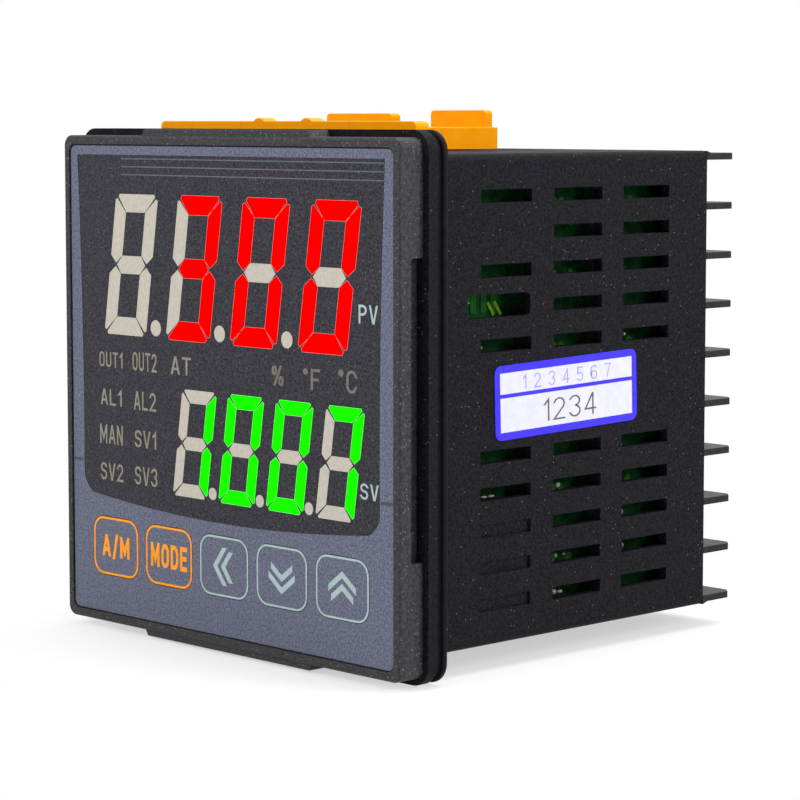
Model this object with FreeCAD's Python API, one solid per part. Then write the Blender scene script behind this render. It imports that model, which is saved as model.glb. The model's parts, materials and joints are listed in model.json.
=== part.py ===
"""Panel-mounted PID temperature controller, 72 mm square front.

Frame while modelling: X to the right of somebody facing the front, Y rearward
from the front rim, Z up, with the middle of the front rim at (0, 0, 0).
place_and_export() then moves every piece so that the origin is the middle of
the bounding box's bottom face.  Every size is in millimetres.

A prism is named by the axis it runs along, the span between its two ends and
an outline in the two other coordinates, taken in X, Y, Z order.
"""
import FreeCAD, Part
import math
import os

from FreeCAD import Vector

# ---------------------------------------------------------------- driving sizes
FRONT_SIZE = 72.0             # square front frame
FLANGE_LIP = 1.0              # how far the flange stands out round the frame
BODY_STEP = 2.25              # how far the body lies inside the frame's outline
WALL = 1.6                    # body wall
FRAME_DEPTH = 4.3             # front rim to the flange
FLANGE_DEPTH = 1.7
GASKET_DEPTH = 2.0
BODY_LENGTH = 57.0            # walls behind the gasket
BARRIER_DEPTH = 6.8           # terminal barriers behind the walls
PANEL_THICKNESS = 3.5         # panel that the bracket is drawn up against
KEY_TRAVEL = 0.3
TERMINALS_PER_COLUMN = 9
SMALL_ROUND_SIDES = 12        # screw heads, cans and points are drawn with this many sides
CORNER_SIDES = 4              # and the corners of thin or small pieces with this many

# ---------------------------------------------------------------- fits
KEY_FIT = 0.12                # gap round a key's cap
PLUNGER_FIT = 0.3             # gap round a key's body in the face plate
BRACKET_FIT = 0.15            # gap round the bracket's sliding faces
SKIRT_FIT = 0.1               # front frame's skirt in the body
BOARD_FIT = 0.35              # display board in the skirt
GASKET_FIT = 0.05             # gasket round the body
MODULE_FIT = 0.2              # display modules in the face plate
TERMINAL_FIT = 0.2            # clamps and contacts between the barriers
SLOT_FIT = 0.1                # contacts in the slots of the terminal block

# ---------------------------------------------------------------- front frame
FRAME_RADIUS = 1.5
FRAME_BEVEL = 0.3
RIM = 1.3                     # border that stands round the film
OVERLAY_RECESS = 0.25
OVERLAY_THICKNESS = 0.4
OVERLAY_RADIUS = 1.2
FACE_THICKNESS = 2.75         # face plate behind the film
PAD_WIDTH = 35.2              # raised pad in the middle of the top and bottom edge
PAD_HEIGHT = 0.9
PAD_SLOPE = 0.55
PAD_FRONT = 0.5
GRIP_FRONT = 2.1              # finger recess in each side of the frame
GRIP_MARGIN = 15.8
GRIP_DEPTH = 1.2
SKIRT_WALL = 1.2
SKIRT_BEVEL = 1.0
SKIRT_REST = 0.2              # skirt behind the display board
HOOK_X = 20.0                 # four snap hooks, two on top and two below
HOOK_WIDTH = 6.0
HOOK_LENGTH = 3.8
HOOK_OVERLAP = 1.2
HOOK_THICKNESS = 1.0
HOOK_CATCH = 0.8
HOOK_CATCH_LENGTH = 1.6
HOOK_FIT = 0.15

# ---------------------------------------------------------------- keys
KEY_NODES = ["key_auto_manual", "key_mode", "key_shift", "key_down", "key_up"]
KEY_SIDE_MARGIN = 4.89
KEY_BOTTOM_MARGIN = 5.8
KEY_GAP = 1.78
KEY_HEIGHT = 8.6
KEY_RADIUS = 2.2
PLUNGER_INSET = 0.9           # key's body inside the outline of its cap
PLUNGER_BEVEL = 1.2
COLLAR_THICKNESS = 0.7
COLLAR_MARGIN = 0.6           # collar above and below the cap's outline
STEM_SIZE = 2.0
STEM_GAP = 0.1                # stem short of the dome at full travel
SWITCH_SIZE = 5.2
SWITCH_HEIGHT = 2.0
SWITCH_GAP = 0.6              # collar short of the switch at full travel
SWITCH_WELL = 3.2
DOME_FIT = 0.1                # dome in the switch's well
DOME_THICKNESS = 0.3
DOME_BEVEL = 0.8

# ---------------------------------------------------------------- display window
WINDOW_SIDE_MARGIN = 1.75     # at the top
WINDOW_TOP_MARGIN = 1.5
WINDOW_BOW = 0.85             # how far the sides pull in at half height
WINDOW_TAPER = 1.0            # how far they have pulled in at the bottom
WINDOW_KEY_GAP = 1.8
WINDOW_SAG = 1.65             # how far the bottom edge hangs below its ends
WINDOW_CORNER_WIDTH = 2.15
WINDOW_CORNER_HEIGHT = 2.45
WINDOW_CORNER_BULGE = 0.24    # corner arc beyond its chord
WINDOW_RECESS = 0.05          # behind the film's face
WINDOW_THICKNESS = 1.5
DIGITS = 4
SLANT = 0.15                  # sideways lean for each unit of height
SEGMENT_GAP = 0.22
SEGMENTS = "abcdefg"
PV_MARGINS = {"left": 5.4, "right": 6.8, "gap": 4.8}
SV_MARGINS = {"left": 20.9, "right": 5.45, "gap": 2.75}
PV_STROKE = {"stroke": 2.35, "clip": 0.52, "point": 2.5}
SV_STROKE = {"stroke": 1.75, "clip": 0.39, "point": 1.9}
PV_DROP = 5.8                 # window's top to the large digits
ROW_GAP = 7.2
SV_HEIGHT = 15.3
SV_RISE = 3.1                 # small digits above the lowest point of the window
PV_SHOWN = ["", "abcdg", "abcdef", "abcdef"]
SV_SHOWN = ["bc", "abcdef", "abcdef", "abc"]
MODULE_MARGIN = 0.5           # display module round its digits
WELL_LEDGE = 0.25             # light well inside the digit's outline
LED_SIZE = 0.9
LED_HEIGHT = 0.6

# ---------------------------------------------------------------- boards
BOARD_THICKNESS = 1.6
SIDE_BOARD_GAP = 2.45         # between a side board and the body's wall
SIDE_BOARD_START = 4.2        # behind the display board
SIDE_BOARD_STOP = 0.8         # in front of the terminal block
GUIDE_WIDTH = 1.2
GUIDE_HEIGHT = 2.0
GUIDE_STOP = 0.5              # in front of the contacts' tails
HEADER_HEIGHT = 24.0
HEADER_THICKNESS = 3.0
HEADER_OVERLAP = 4.0
RELAY = {"length": 19.0, "height": 15.0, "width": 10.5, "front": 18.2}
RELAY_COUNT = 3
RELAY_PITCH = 13.0
PART_MARGIN = 3.15            # guides to the nearest relay or chip
CORE = {"length": 16.0, "height": 13.0, "width": 16.0, "front": 20.2, "stand": 1.0}
BOBBIN = {"length": 19.0, "width": 19.0}
WINDING = {"length": 12.0, "height": 12.0, "width": 22.0, "bevel": 3.0}
LARGE_CAN = {"radius": 5.0, "length": 16.0, "front": 27.2, "margin": 9.65}
SMALL_CAN = {"radius": 4.0, "length": 12.0, "front": 13.2, "margin": 14.15}
PROCESSOR = {"size": 10.0, "thickness": 1.4, "front": 5.7}
PADS = {"count": 4, "width": 1.1, "pitch": 2.0, "thickness": 0.15, "front": 2.6, "margin": 0.3}

# ---------------------------------------------------------------- body
FLANGE_RADIUS = 3.0
BODY_RADIUS = 1.0
GROOVE_WIDTH = 1.1            # groove round the gasket's front half
GROOVE_DEPTH = 0.6
VENT_ROWS = 12
VENT_COLUMNS = 3
VENT_END_MARGIN = 5.755       # body's edge to the middle of the first and last row
VENT_FRONT_MARGIN = 9.45      # gasket to the first column
VENT_BACK_MARGIN = 8.5        # last column to the body's rear end
VENT_HEIGHT = 1.8
VENT_WIDTH = 10.0
BLIND_DEPTH = 0.5
LABEL_ROWS = (5, 6)           # rows left closed behind the inspection label
PORT_ROW = 3
MISSING_ROW = 1
BLIND_ROWS = (9, 10, 11)
PORT_START = 6.8              # behind the gasket
PORT_LENGTH = 12.4
PORT_HEIGHT = 3.2
PORT_LIFT = 0.325             # above the middle of its row
PORT_RADIUS = 0.8

# ---------------------------------------------------------------- bracket and its track
BAR_LENGTH = 54.4             # bar that presses on the panel
BAR_DEPTH = 2.6
BAR_HEIGHT = 4.2
BAR_RADIUS = 0.8
BUMP_X = 5.05
BUMP_RADIUS = 1.75
BUMP_RISE = 0.45
GUSSET_WIDTH = 44.0
GUSSET_LENGTH = 10.0
TONGUE_WIDTH = 12.0
TONGUE_LENGTH = 37.95         # from the bar's front face
TONGUE_FLOOR = 1.4
TONGUE_RAIL = 1.3
TONGUE_HEIGHT = 3.25
HEEL_LENGTH = 4.15
CROSS_START = 14.9            # behind the bar's front face
THUMB_SETBACK = 2.55          # in front of the tongue's rear end
CROSS_WALL = {"thickness": 1.9, "width": 13.8, "height": 5.3}
THUMB_WALL = {"thickness": 1.6, "width": 11.6, "height": 5.8}
WALL_RADIUS = 0.6
FINGER_WIDTH = 5.2
FINGER_SLIT = 0.8
FINGER_START = 19.5
FOOT_START = 18.5             # behind the bar's front face
FOOT_LENGTH = 12.0
FOOT_REACH = 1.4
FOOT_THICKNESS = 1.1
LEG_X = 3.6                   # middle of each leg and guide slot
LEG_THICKNESS = 1.4
LEG_SINK = 0.5                # leg into the tongue's floor
TRACK_START = 10.0            # behind the gasket
TRACK_STOP = 0.3              # in front of the terminal block
ENTRY_LENGTH = 12.9
RACK_WIDTH = 4.4
RACK_START = 19.0
RACK_PITCH = 2.0
RACK_TEETH = 12
RACK_DEPTH = 0.7
RACK_LAND = 0.3
RACK_FLANK = 0.2

# ---------------------------------------------------------------- terminals
BLOCK_THICKNESS = 4.2
BARRIER_THICKNESS = 1.0
BARRIER_EDGE = 0.855          # body's edge to the middle of the outermost barrier
BARRIER_LENGTH = 14.75
BARRIER_BEVEL = 1.0
SPINE_THICKNESS = 1.5
SPINE_DEPTH = 4.4
RAIL_DEPTH = 2.0
LAND_MARGIN = 2.0
LAND_HEIGHT = 62.0
LAND_DEPTH = 1.2
SCREW_TAIL_GAP = 0.35         # between the screw and the contact's tail
SCREW_RADIUS = 1.45
SCREW_LENGTH = 7.4            # under the clamp
HEAD_MARGIN = 0.2             # clamp's edge beyond the screw head
HEAD_HEIGHT = 2.1
CLAMP_THICKNESS = 0.8
CONTACT_THICKNESS = 0.8
CONTACT_INSET = 0.45          # contact's edges inside those of its clamp
CONTACT_SETBACK = 1.6         # contact's inner end from the spine
CONTACT_OUTER = 5.2           # its outer end from the screw's axis
TAIL_OVERLAP = 4.0            # contact's tail along the side board
LATCH_X = 22.0
LATCH_WIDTH = 8.0
LATCH_DEPTH = 1.6
LATCH_SETBACK = 1.8           # behind it, to the body's rear end
LATCH_ROOT = 0.25
LATCH_RECESS = 0.4

# ---------------------------------------------------------------- label
LABEL_LENGTH = 29.3
LABEL_HEIGHT = 10.3
LABEL_RADIUS = 1.2
LABEL_THICKNESS = 0.12
LABEL_START = 12.15           # behind the gasket
LABEL_TILT = 1.7              # degrees

# ---------------------------------------------------------------- what follows from them
HALF_FRONT = FRONT_SIZE / 2
FLANGE_SIZE = FRONT_SIZE + 2 * FLANGE_LIP
BODY_SIZE = FRONT_SIZE - 2 * BODY_STEP
HALF_BODY = BODY_SIZE / 2
HALF_CAVITY = HALF_BODY - WALL
OVERLAY_SIZE = FRONT_SIZE - 2 * RIM
HALF_OVERLAY = OVERLAY_SIZE / 2
HALF_SKIRT = HALF_CAVITY - SKIRT_FIT
HALF_INSIDE = HALF_SKIRT - SKIRT_WALL

OVERLAY_BACK = OVERLAY_RECESS + OVERLAY_THICKNESS
FACE_BACK = OVERLAY_BACK + FACE_THICKNESS
WINDOW_FRONT = OVERLAY_RECESS + WINDOW_RECESS
WINDOW_BACK = WINDOW_FRONT + WINDOW_THICKNESS
COLLAR_BACK = FACE_BACK + COLLAR_THICKNESS
SWITCH_FRONT = COLLAR_BACK + KEY_TRAVEL + SWITCH_GAP
DISPLAY_BOARD_FRONT = SWITCH_FRONT + SWITCH_HEIGHT
DISPLAY_BOARD_BACK = DISPLAY_BOARD_FRONT + BOARD_THICKNESS
SKIRT_BACK = DISPLAY_BOARD_BACK + SKIRT_REST
HOOK_BACK = SKIRT_BACK + HOOK_LENGTH
FLANGE_BACK = FRAME_DEPTH + FLANGE_DEPTH
GASKET_BACK = FLANGE_BACK + GASKET_DEPTH
BODY_BACK = GASKET_BACK + BODY_LENGTH
BARRIER_BACK = BODY_BACK + BARRIER_DEPTH
BLOCK_FRONT = BODY_BACK - BLOCK_THICKNESS
BRACKET_FRONT = GASKET_BACK + PANEL_THICKNESS
BRACKET_FLOOR = HALF_BODY + BRACKET_FIT

KEY_WIDTH = (OVERLAY_SIZE - 2 * KEY_SIDE_MARGIN - (len(KEY_NODES) - 1) * KEY_GAP) / len(KEY_NODES)
KEY_PITCH = KEY_WIDTH + KEY_GAP
KEY_ROW_Z = -HALF_OVERLAY + KEY_BOTTOM_MARGIN + KEY_HEIGHT / 2

WINDOW_TOP = HALF_OVERLAY - WINDOW_TOP_MARGIN
WINDOW_HALF_TOP = HALF_OVERLAY - WINDOW_SIDE_MARGIN
WINDOW_HALF_WAIST = WINDOW_HALF_TOP - WINDOW_BOW
WINDOW_HALF_LOW = WINDOW_HALF_TOP - WINDOW_TAPER
WINDOW_HALF_CORNER = WINDOW_HALF_LOW - WINDOW_CORNER_WIDTH
WINDOW_BOTTOM = KEY_ROW_Z + KEY_HEIGHT / 2 + WINDOW_KEY_GAP
WINDOW_CORNER_Z = WINDOW_BOTTOM + WINDOW_SAG
WINDOW_SIDE_Z = WINDOW_CORNER_Z + WINDOW_CORNER_HEIGHT

SIDE_BOARD_X = HALF_CAVITY - SIDE_BOARD_GAP - BOARD_THICKNESS     # inner face of the right-hand board
SIDE_BOARD_FRONT = DISPLAY_BOARD_BACK + SIDE_BOARD_START
SIDE_BOARD_BACK = BLOCK_FRONT - SIDE_BOARD_STOP
TAIL_FRONT = SIDE_BOARD_BACK - TAIL_OVERLAP
PART_REACH = HALF_CAVITY - GUIDE_HEIGHT                           # up to the guides from the middle

VENT_PITCH = (BODY_SIZE - 2 * VENT_END_MARGIN) / (VENT_ROWS - 1)
VENT_SPAN = BODY_LENGTH - VENT_FRONT_MARGIN - VENT_BACK_MARGIN
VENT_COLUMN_PITCH = (VENT_SPAN - VENT_WIDTH) / (VENT_COLUMNS - 1)
PORT_FRONT = GASKET_BACK + PORT_START
PORT_Z = ((VENT_ROWS - 1) / 2 - PORT_ROW) * VENT_PITCH + PORT_LIFT

TRACK_FRONT = GASKET_BACK + TRACK_START
TRACK_BACK = BLOCK_FRONT - TRACK_STOP

TERMINAL_PITCH = (BODY_SIZE - 2 * BARRIER_EDGE) / TERMINALS_PER_COLUMN
CLAMP_SIZE = TERMINAL_PITCH - BARRIER_THICKNESS - 2 * TERMINAL_FIT
BARRIER_INNER_X = HALF_BODY - BARRIER_LENGTH
TAIL_INNER_X = SIDE_BOARD_X - CONTACT_THICKNESS
SCREW_X = TAIL_INNER_X - SCREW_TAIL_GAP - SCREW_RADIUS
CONTACT_HEIGHT = CLAMP_SIZE - 2 * CONTACT_INSET
CLAMP_FRONT = BODY_BACK + CONTACT_THICKNESS
HEAD_FRONT = CLAMP_FRONT + CLAMP_THICKNESS


# ================================================================ plain shapes
def point_at(axis, along, u, v):
    """Point at a distance along an axis, with its two other coordinates in X, Y, Z order."""
    if axis == "x":
        return Vector(along, u, v)
    if axis == "y":
        return Vector(u, along, v)
    return Vector(u, v, along)


def extruded(axis, span, edges):
    """Prism along an axis over a closed run of edges that lie at the span's start."""
    face = Part.Face(Part.Wire(edges))
    return face.extrude(point_at(axis, span[1] - span[0], 0, 0))


def prism(axis, span, outline):
    """Prism along an axis over a polygon of (u, v) corners."""
    corners = [point_at(axis, span[0], u, v) for u, v in outline]
    return extruded(axis, span, Part.makePolygon(corners + corners[:1]).Edges)


def block(x_range, y_range, z_range):
    """Box between three pairs of limits, each pair in either order."""
    lows = [min(pair) for pair in (x_range, y_range, z_range)]
    sizes = [abs(pair[1] - pair[0]) for pair in (x_range, y_range, z_range)]
    return Part.makeBox(sizes[0], sizes[1], sizes[2], Vector(*lows))


def rectangle(width, height, centre=(0.0, 0.0), bevel=0.0):
    """Corners of a centred rectangle, with its corners cut off where a bevel is given."""
    half_u = width / 2
    half_v = height / 2
    corners = []
    for side_u, side_v in ((1, 1), (-1, 1), (-1, -1), (1, -1)):
        steep = (centre[0] + side_u * half_u, centre[1] + side_v * (half_v - bevel))
        flat = (centre[0] + side_u * (half_u - bevel), centre[1] + side_v * half_v)
        if bevel == 0.0:
            corners.append(flat)
        else:
            corners += [steep, flat] if side_u * side_v > 0 else [flat, steep]
    return corners


def rounded_outline(width, height, radius, centre=(0.0, 0.0)):
    """Corners of a centred rectangle whose round corners are drawn with a few flat sides."""
    corners = []
    for index, (side_u, side_v) in enumerate(((1, 1), (-1, 1), (-1, -1), (1, -1))):
        middle_u = centre[0] + side_u * (width / 2 - radius)
        middle_v = centre[1] + side_v * (height / 2 - radius)
        for step in range(CORNER_SIDES + 1):
            turn = math.radians(90 * (index + step / CORNER_SIDES))
            corners.append((middle_u + radius * math.cos(turn), middle_v + radius * math.sin(turn)))
    return corners


def rounded_edges(axis, along, width, height, radius, centre=(0.0, 0.0)):
    """Edges of a centred rectangle with round corners."""
    arcs = []
    for index, (side_u, side_v) in enumerate(((1, 1), (-1, 1), (-1, -1), (1, -1))):
        middle_u = centre[0] + side_u * (width / 2 - radius)
        middle_v = centre[1] + side_v * (height / 2 - radius)
        arc = []
        for step in (0, 45, 90):
            turn = math.radians(90 * index + step)
            u = middle_u + radius * math.cos(turn)
            arc.append(point_at(axis, along, u, middle_v + radius * math.sin(turn)))
        arcs.append(arc)
    edges = []
    for index, arc in enumerate(arcs):
        following = arcs[(index + 1) % len(arcs)]
        edges.append(Part.Arc(*arc).toShape())
        edges.append(Part.LineSegment(arc[-1], following[0]).toShape())
    return edges


def rounded_prism(axis, span, width, height, radius, centre=(0.0, 0.0)):
    """Prism over a centred rectangle with round corners."""
    return extruded(axis, span, rounded_edges(axis, span[0], width, height, radius, centre))


def many_sided(axis, span, radius, centre, sides=SMALL_ROUND_SIDES):
    """Small round piece, drawn with flat sides that touch the circle at their corners."""
    turns = [2 * math.pi * (index + 0.5) / sides for index in range(sides)]
    outline = [(centre[0] + radius * math.cos(turn), centre[1] + radius * math.sin(turn)) for turn in turns]
    return prism(axis, span, outline)


def join(shapes):
    """One solid out of pieces that touch or overlap."""
    return shapes[0].multiFuse(shapes[1:]).removeSplitter()


def group(shapes):
    """Separate solids kept in one node."""
    return Part.makeCompound(shapes)


def mirror_x(shape):
    """The same shape on the other side of the middle plane."""
    return shape.mirror(Vector(0, 0, 0), Vector(1, 0, 0))


def mirror_z(shape):
    """The same shape on the other side of the middle height."""
    return shape.mirror(Vector(0, 0, 0), Vector(0, 0, 1))


# ================================================================ display
def window_prism(span):
    """Window outline: square top corners, bowed sides and a bottom that hangs in a curve."""
    waist_z = (WINDOW_TOP + WINDOW_SIDE_Z) / 2
    bulge_x = (WINDOW_HALF_LOW + WINDOW_HALF_CORNER) / 2 + WINDOW_CORNER_BULGE
    bulge_z = (WINDOW_SIDE_Z + WINDOW_CORNER_Z) / 2 - WINDOW_CORNER_BULGE

    def arc(start, middle, end):
        return Part.Arc(*[Vector(x, span[0], z) for x, z in (start, middle, end)]).toShape()

    top_end = (WINDOW_HALF_TOP, WINDOW_TOP)
    side_end = (WINDOW_HALF_LOW, WINDOW_SIDE_Z)
    foot_end = (WINDOW_HALF_CORNER, WINDOW_CORNER_Z)
    side = arc(top_end, (WINDOW_HALF_WAIST, waist_z), side_end)
    right = [side, arc(side_end, (bulge_x, bulge_z), foot_end)]
    foot = arc(foot_end, (0, WINDOW_BOTTOM), (-WINDOW_HALF_CORNER, WINDOW_CORNER_Z))
    left = [mirror_x(edge) for edge in reversed(right)]
    top_left = Vector(-WINDOW_HALF_TOP, span[0], WINDOW_TOP)
    top = Part.LineSegment(top_left, Vector(WINDOW_HALF_TOP, span[0], WINDOW_TOP)).toShape()
    return extruded("y", span, right + [foot] + left + [top])


def spread_row(margins, stroke, foot, height):
    """Places of one row of digits that fills the window between two margins."""
    left = -WINDOW_HALF_WAIST + margins["left"]
    right = WINDOW_HALF_WAIST - margins["right"]
    width = (right - left - (DIGITS - 1) * margins["gap"]) / DIGITS
    return dict(stroke, left=left, foot=foot, height=height, width=width, pitch=width + margins["gap"])


def digit_rows():
    """The two rows of digits, each with the segments that it shows lit."""
    sv_foot = WINDOW_BOTTOM + SV_RISE
    pv_foot = sv_foot + SV_HEIGHT + ROW_GAP
    pv_height = WINDOW_TOP - PV_DROP - pv_foot
    return {
        "pv": (spread_row(PV_MARGINS, PV_STROKE, pv_foot, pv_height), PV_SHOWN),
        "sv": (spread_row(SV_MARGINS, SV_STROKE, sv_foot, SV_HEIGHT), SV_SHOWN),
    }


def segment_outlines(row):
    """Corners of the seven mitred segments of one upright digit, foot at (0, 0).

    The segments meet on 45-degree mitres with SEGMENT_GAP between them, and the
    four outer corners of the digit are clipped.
    """
    width = row["width"]
    height = row["height"]
    stroke = row["stroke"]
    clip = row["clip"]
    middle = height / 2
    half = stroke / 2
    shy = SEGMENT_GAP / math.sqrt(2)
    top = [(clip + shy, height), (width - clip - shy, height), (width - clip / 2 - shy, height - clip / 2),
           (width - stroke - shy, height - stroke), (stroke + shy, height - stroke),
           (clip / 2 + shy, height - clip / 2)]
    bar = [(half + shy, middle), (stroke + shy, middle + half),
           (width - stroke - shy, middle + half), (width - half - shy, middle),
           (width - stroke - shy, middle - half), (stroke + shy, middle - half)]
    right = [(width, height - clip - shy), (width - clip / 2, height - clip / 2 - shy),
             (width - stroke, height - stroke - shy), (width - stroke, middle + half + shy),
             (width - half, middle + shy), (width, middle + half + shy)]

    def flip_x(points):
        return [(width - x, z) for x, z in points]

    def flip_z(points):
        return [(x, height - z) for x, z in points]

    return {"a": top, "b": right, "c": flip_z(right), "d": flip_z(top),
            "e": flip_z(flip_x(right)), "f": flip_x(right), "g": bar}


def leaning(row, digit, points):
    """Corners moved to a digit's place, leaning to the right with height."""
    left = row["left"] + digit * row["pitch"]
    return [(left + x + SLANT * z, row["foot"] + z) for x, z in points]


def segment_prisms(row, shown, wanted, span):
    """Prisms of a row's segments that are lit (wanted=True) or dark (wanted=False)."""
    outlines = segment_outlines(row)
    prisms = []
    for digit, lit in enumerate(shown):
        for name in SEGMENTS:
            if (name in lit) == wanted:
                prisms.append(prism("y", span, leaning(row, digit, outlines[name])))
    return prisms


def point_prisms(row, span):
    """The round points between a row's digits."""
    radius = row["point"] / 2
    first = row["left"] + (row["width"] + row["pitch"]) / 2
    return [many_sided("y", span, radius, (first + digit * row["pitch"], row["foot"] + radius))
            for digit in range(DIGITS - 1)]


def display_apertures(span):
    """Every segment and point of both rows, as cutting shapes."""
    cuts = []
    for row, shown in digit_rows().values():
        cuts += segment_prisms(row, shown, True, span)
        cuts += segment_prisms(row, shown, False, span)
        cuts += point_prisms(row, span)
    return cuts


def display_window():
    """Dark window panel with an aperture for every segment."""
    span = (WINDOW_FRONT, WINDOW_BACK)
    return window_prism(span).cut(group(display_apertures(span)))


def segment_nodes():
    """Light pipes that fill the window's apertures, by row and by lit or dark."""
    span = (WINDOW_FRONT, WINDOW_BACK)
    nodes = {}
    for name, (row, shown) in digit_rows().items():
        nodes[f"{name}_segments_lit"] = group(segment_prisms(row, shown, True, span))
        nodes[f"{name}_segments_dark"] = group(segment_prisms(row, shown, False, span))
        nodes[f"{name}_points"] = group(point_prisms(row, span))
    return nodes


def module_body(row, span, growth):
    """Rectangular body round one row of leaning digits."""
    lean = SLANT * row["height"]
    right = row["left"] + (DIGITS - 1) * row["pitch"] + row["width"] + lean
    return block((row["left"] - growth, right + growth), span,
                 (row["foot"] - growth, row["foot"] + row["height"] + growth))


def light_well(row, digit, span):
    """Well behind one digit and, but for the last digit, behind the point beside it."""
    far = row["width"] if digit == DIGITS - 1 else row["pitch"] - WELL_LEDGE
    low = WELL_LEDGE
    high = row["height"] - WELL_LEDGE
    outline = [(WELL_LEDGE, low), (far - WELL_LEDGE, low), (far - WELL_LEDGE, high), (WELL_LEDGE, high)]
    return prism("y", span, leaning(row, digit, outline))


def display_reflector():
    """Two display modules, each a block with a light well for every digit."""
    span = (WINDOW_BACK, DISPLAY_BOARD_FRONT)
    modules = []
    for row, _ in digit_rows().values():
        wells = [light_well(row, digit, span) for digit in range(DIGITS)]
        modules.append(module_body(row, span, MODULE_MARGIN).cut(group(wells)))
    return group(modules)


def display_leds():
    """Light-emitting chips on the display board, one behind each segment and point."""
    chips = []
    half = LED_SIZE / 2
    for aperture in display_apertures((WINDOW_FRONT, WINDOW_BACK)):
        centre = aperture.CenterOfMass
        chips.append(block((centre.x - half, centre.x + half),
                           (DISPLAY_BOARD_FRONT - LED_HEIGHT, DISPLAY_BOARD_FRONT),
                           (centre.z - half, centre.z + half)))
    return group(chips)


# ================================================================ keys
def key_centres():
    """Middle of each key's cap, left to right."""
    first = -(len(KEY_NODES) - 1) / 2
    return [((first + index) * KEY_PITCH, KEY_ROW_Z) for index in range(len(KEY_NODES))]


def key_at(centre):
    """Cap in the film, body through the face plate, collar behind it and the stem to the switch."""
    cap_outline = rounded_outline(KEY_WIDTH, KEY_HEIGHT, KEY_RADIUS, centre)
    cap = prism("y", (OVERLAY_RECESS, OVERLAY_BACK), cap_outline)
    width = KEY_WIDTH - 2 * PLUNGER_INSET
    height = KEY_HEIGHT - 2 * PLUNGER_INSET
    body = prism("y", (OVERLAY_BACK, FACE_BACK), rectangle(width, height, centre, PLUNGER_BEVEL))
    collar = prism("y", (FACE_BACK, COLLAR_BACK), rectangle(width, KEY_HEIGHT + 2 * COLLAR_MARGIN, centre))
    stem_back = DISPLAY_BOARD_FRONT - DOME_THICKNESS - KEY_TRAVEL - STEM_GAP
    stem = prism("y", (COLLAR_BACK, stem_back), rectangle(STEM_SIZE, STEM_SIZE, centre))
    return join([cap, body, collar, stem])


def cap_openings(span):
    """Openings in the film that the caps travel in."""
    width = KEY_WIDTH + 2 * KEY_FIT
    height = KEY_HEIGHT + 2 * KEY_FIT
    return [prism("y", span, rounded_outline(width, height, KEY_RADIUS + KEY_FIT, centre))
            for centre in key_centres()]


def plunger_openings(span):
    """Openings in the face plate, deepened in front so that the caps can travel."""
    width = KEY_WIDTH - 2 * (PLUNGER_INSET - PLUNGER_FIT)
    height = KEY_HEIGHT - 2 * (PLUNGER_INSET - PLUNGER_FIT)
    dip = (span[0], span[0] + KEY_TRAVEL + PLUNGER_FIT)
    dip_width = KEY_WIDTH + 2 * KEY_FIT
    dip_height = KEY_HEIGHT + 2 * KEY_FIT
    cuts = []
    for centre in key_centres():
        cuts.append(prism("y", span, rectangle(width, height, centre, PLUNGER_BEVEL)))
        cuts.append(prism("y", dip, rectangle(dip_width, dip_height, centre, KEY_RADIUS / 2)))
    return cuts


def tact_switches():
    """Switch housings under the keys, each with a well for its key's stem."""
    span = (SWITCH_FRONT, DISPLAY_BOARD_FRONT)
    housings = []
    for centre in key_centres():
        well = prism("y", span, rectangle(SWITCH_WELL, SWITCH_WELL, centre))
        housings.append(prism("y", span, rectangle(SWITCH_SIZE, SWITCH_SIZE, centre)).cut(well))
    return group(housings)


def switch_domes():
    """Four-legged snap domes at the bottom of the switches."""
    span = (DISPLAY_BOARD_FRONT - DOME_THICKNESS, DISPLAY_BOARD_FRONT)
    size = SWITCH_WELL - 2 * DOME_FIT
    return group([prism("y", span, rectangle(size, size, centre, DOME_BEVEL))
                  for centre in key_centres()])


# ================================================================ front frame and film
def edge_pad():
    """Raised pad on the frame's top edge, with sloped ends."""
    half = PAD_WIDTH / 2
    foot = half + PAD_SLOPE
    outline = [(-foot, HALF_FRONT - RIM), (foot, HALF_FRONT - RIM), (foot, HALF_FRONT),
               (half, HALF_FRONT + PAD_HEIGHT), (-half, HALF_FRONT + PAD_HEIGHT), (-foot, HALF_FRONT)]
    return prism("y", (PAD_FRONT, FRAME_DEPTH), outline)


def snap_hook(x):
    """Hook that reaches back from the skirt into a pocket of the body's top wall, with a lead-in slope."""
    inner = HALF_SKIRT - HOOK_THICKNESS
    outline = [(SKIRT_BACK - HOOK_OVERLAP, inner), (HOOK_BACK, inner), (HOOK_BACK, HALF_SKIRT),
               (HOOK_BACK - HOOK_CATCH_LENGTH / 2, HALF_SKIRT + HOOK_CATCH),
               (HOOK_BACK - HOOK_CATCH_LENGTH, HALF_SKIRT + HOOK_CATCH),
               (HOOK_BACK - HOOK_CATCH_LENGTH, HALF_SKIRT), (SKIRT_BACK - HOOK_OVERLAP, HALF_SKIRT)]
    return prism("x", (x - HOOK_WIDTH / 2, x + HOOK_WIDTH / 2), outline)


def frame_shell():
    """Outer shell of the front: a bevelled front edge, lofted into the straight rim."""
    small = FRONT_SIZE - 2 * FRAME_BEVEL
    front = Part.Wire(rounded_edges("y", 0, small, small, FRAME_RADIUS - FRAME_BEVEL))
    behind = Part.Wire(rounded_edges("y", FRAME_BEVEL, FRONT_SIZE, FRONT_SIZE, FRAME_RADIUS))
    bevel = Part.makeLoft([front, behind], True, True)
    straight = rounded_prism("y", (FRAME_BEVEL, FRAME_DEPTH), FRONT_SIZE, FRONT_SIZE, FRAME_RADIUS)
    return join([bevel, straight])


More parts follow.
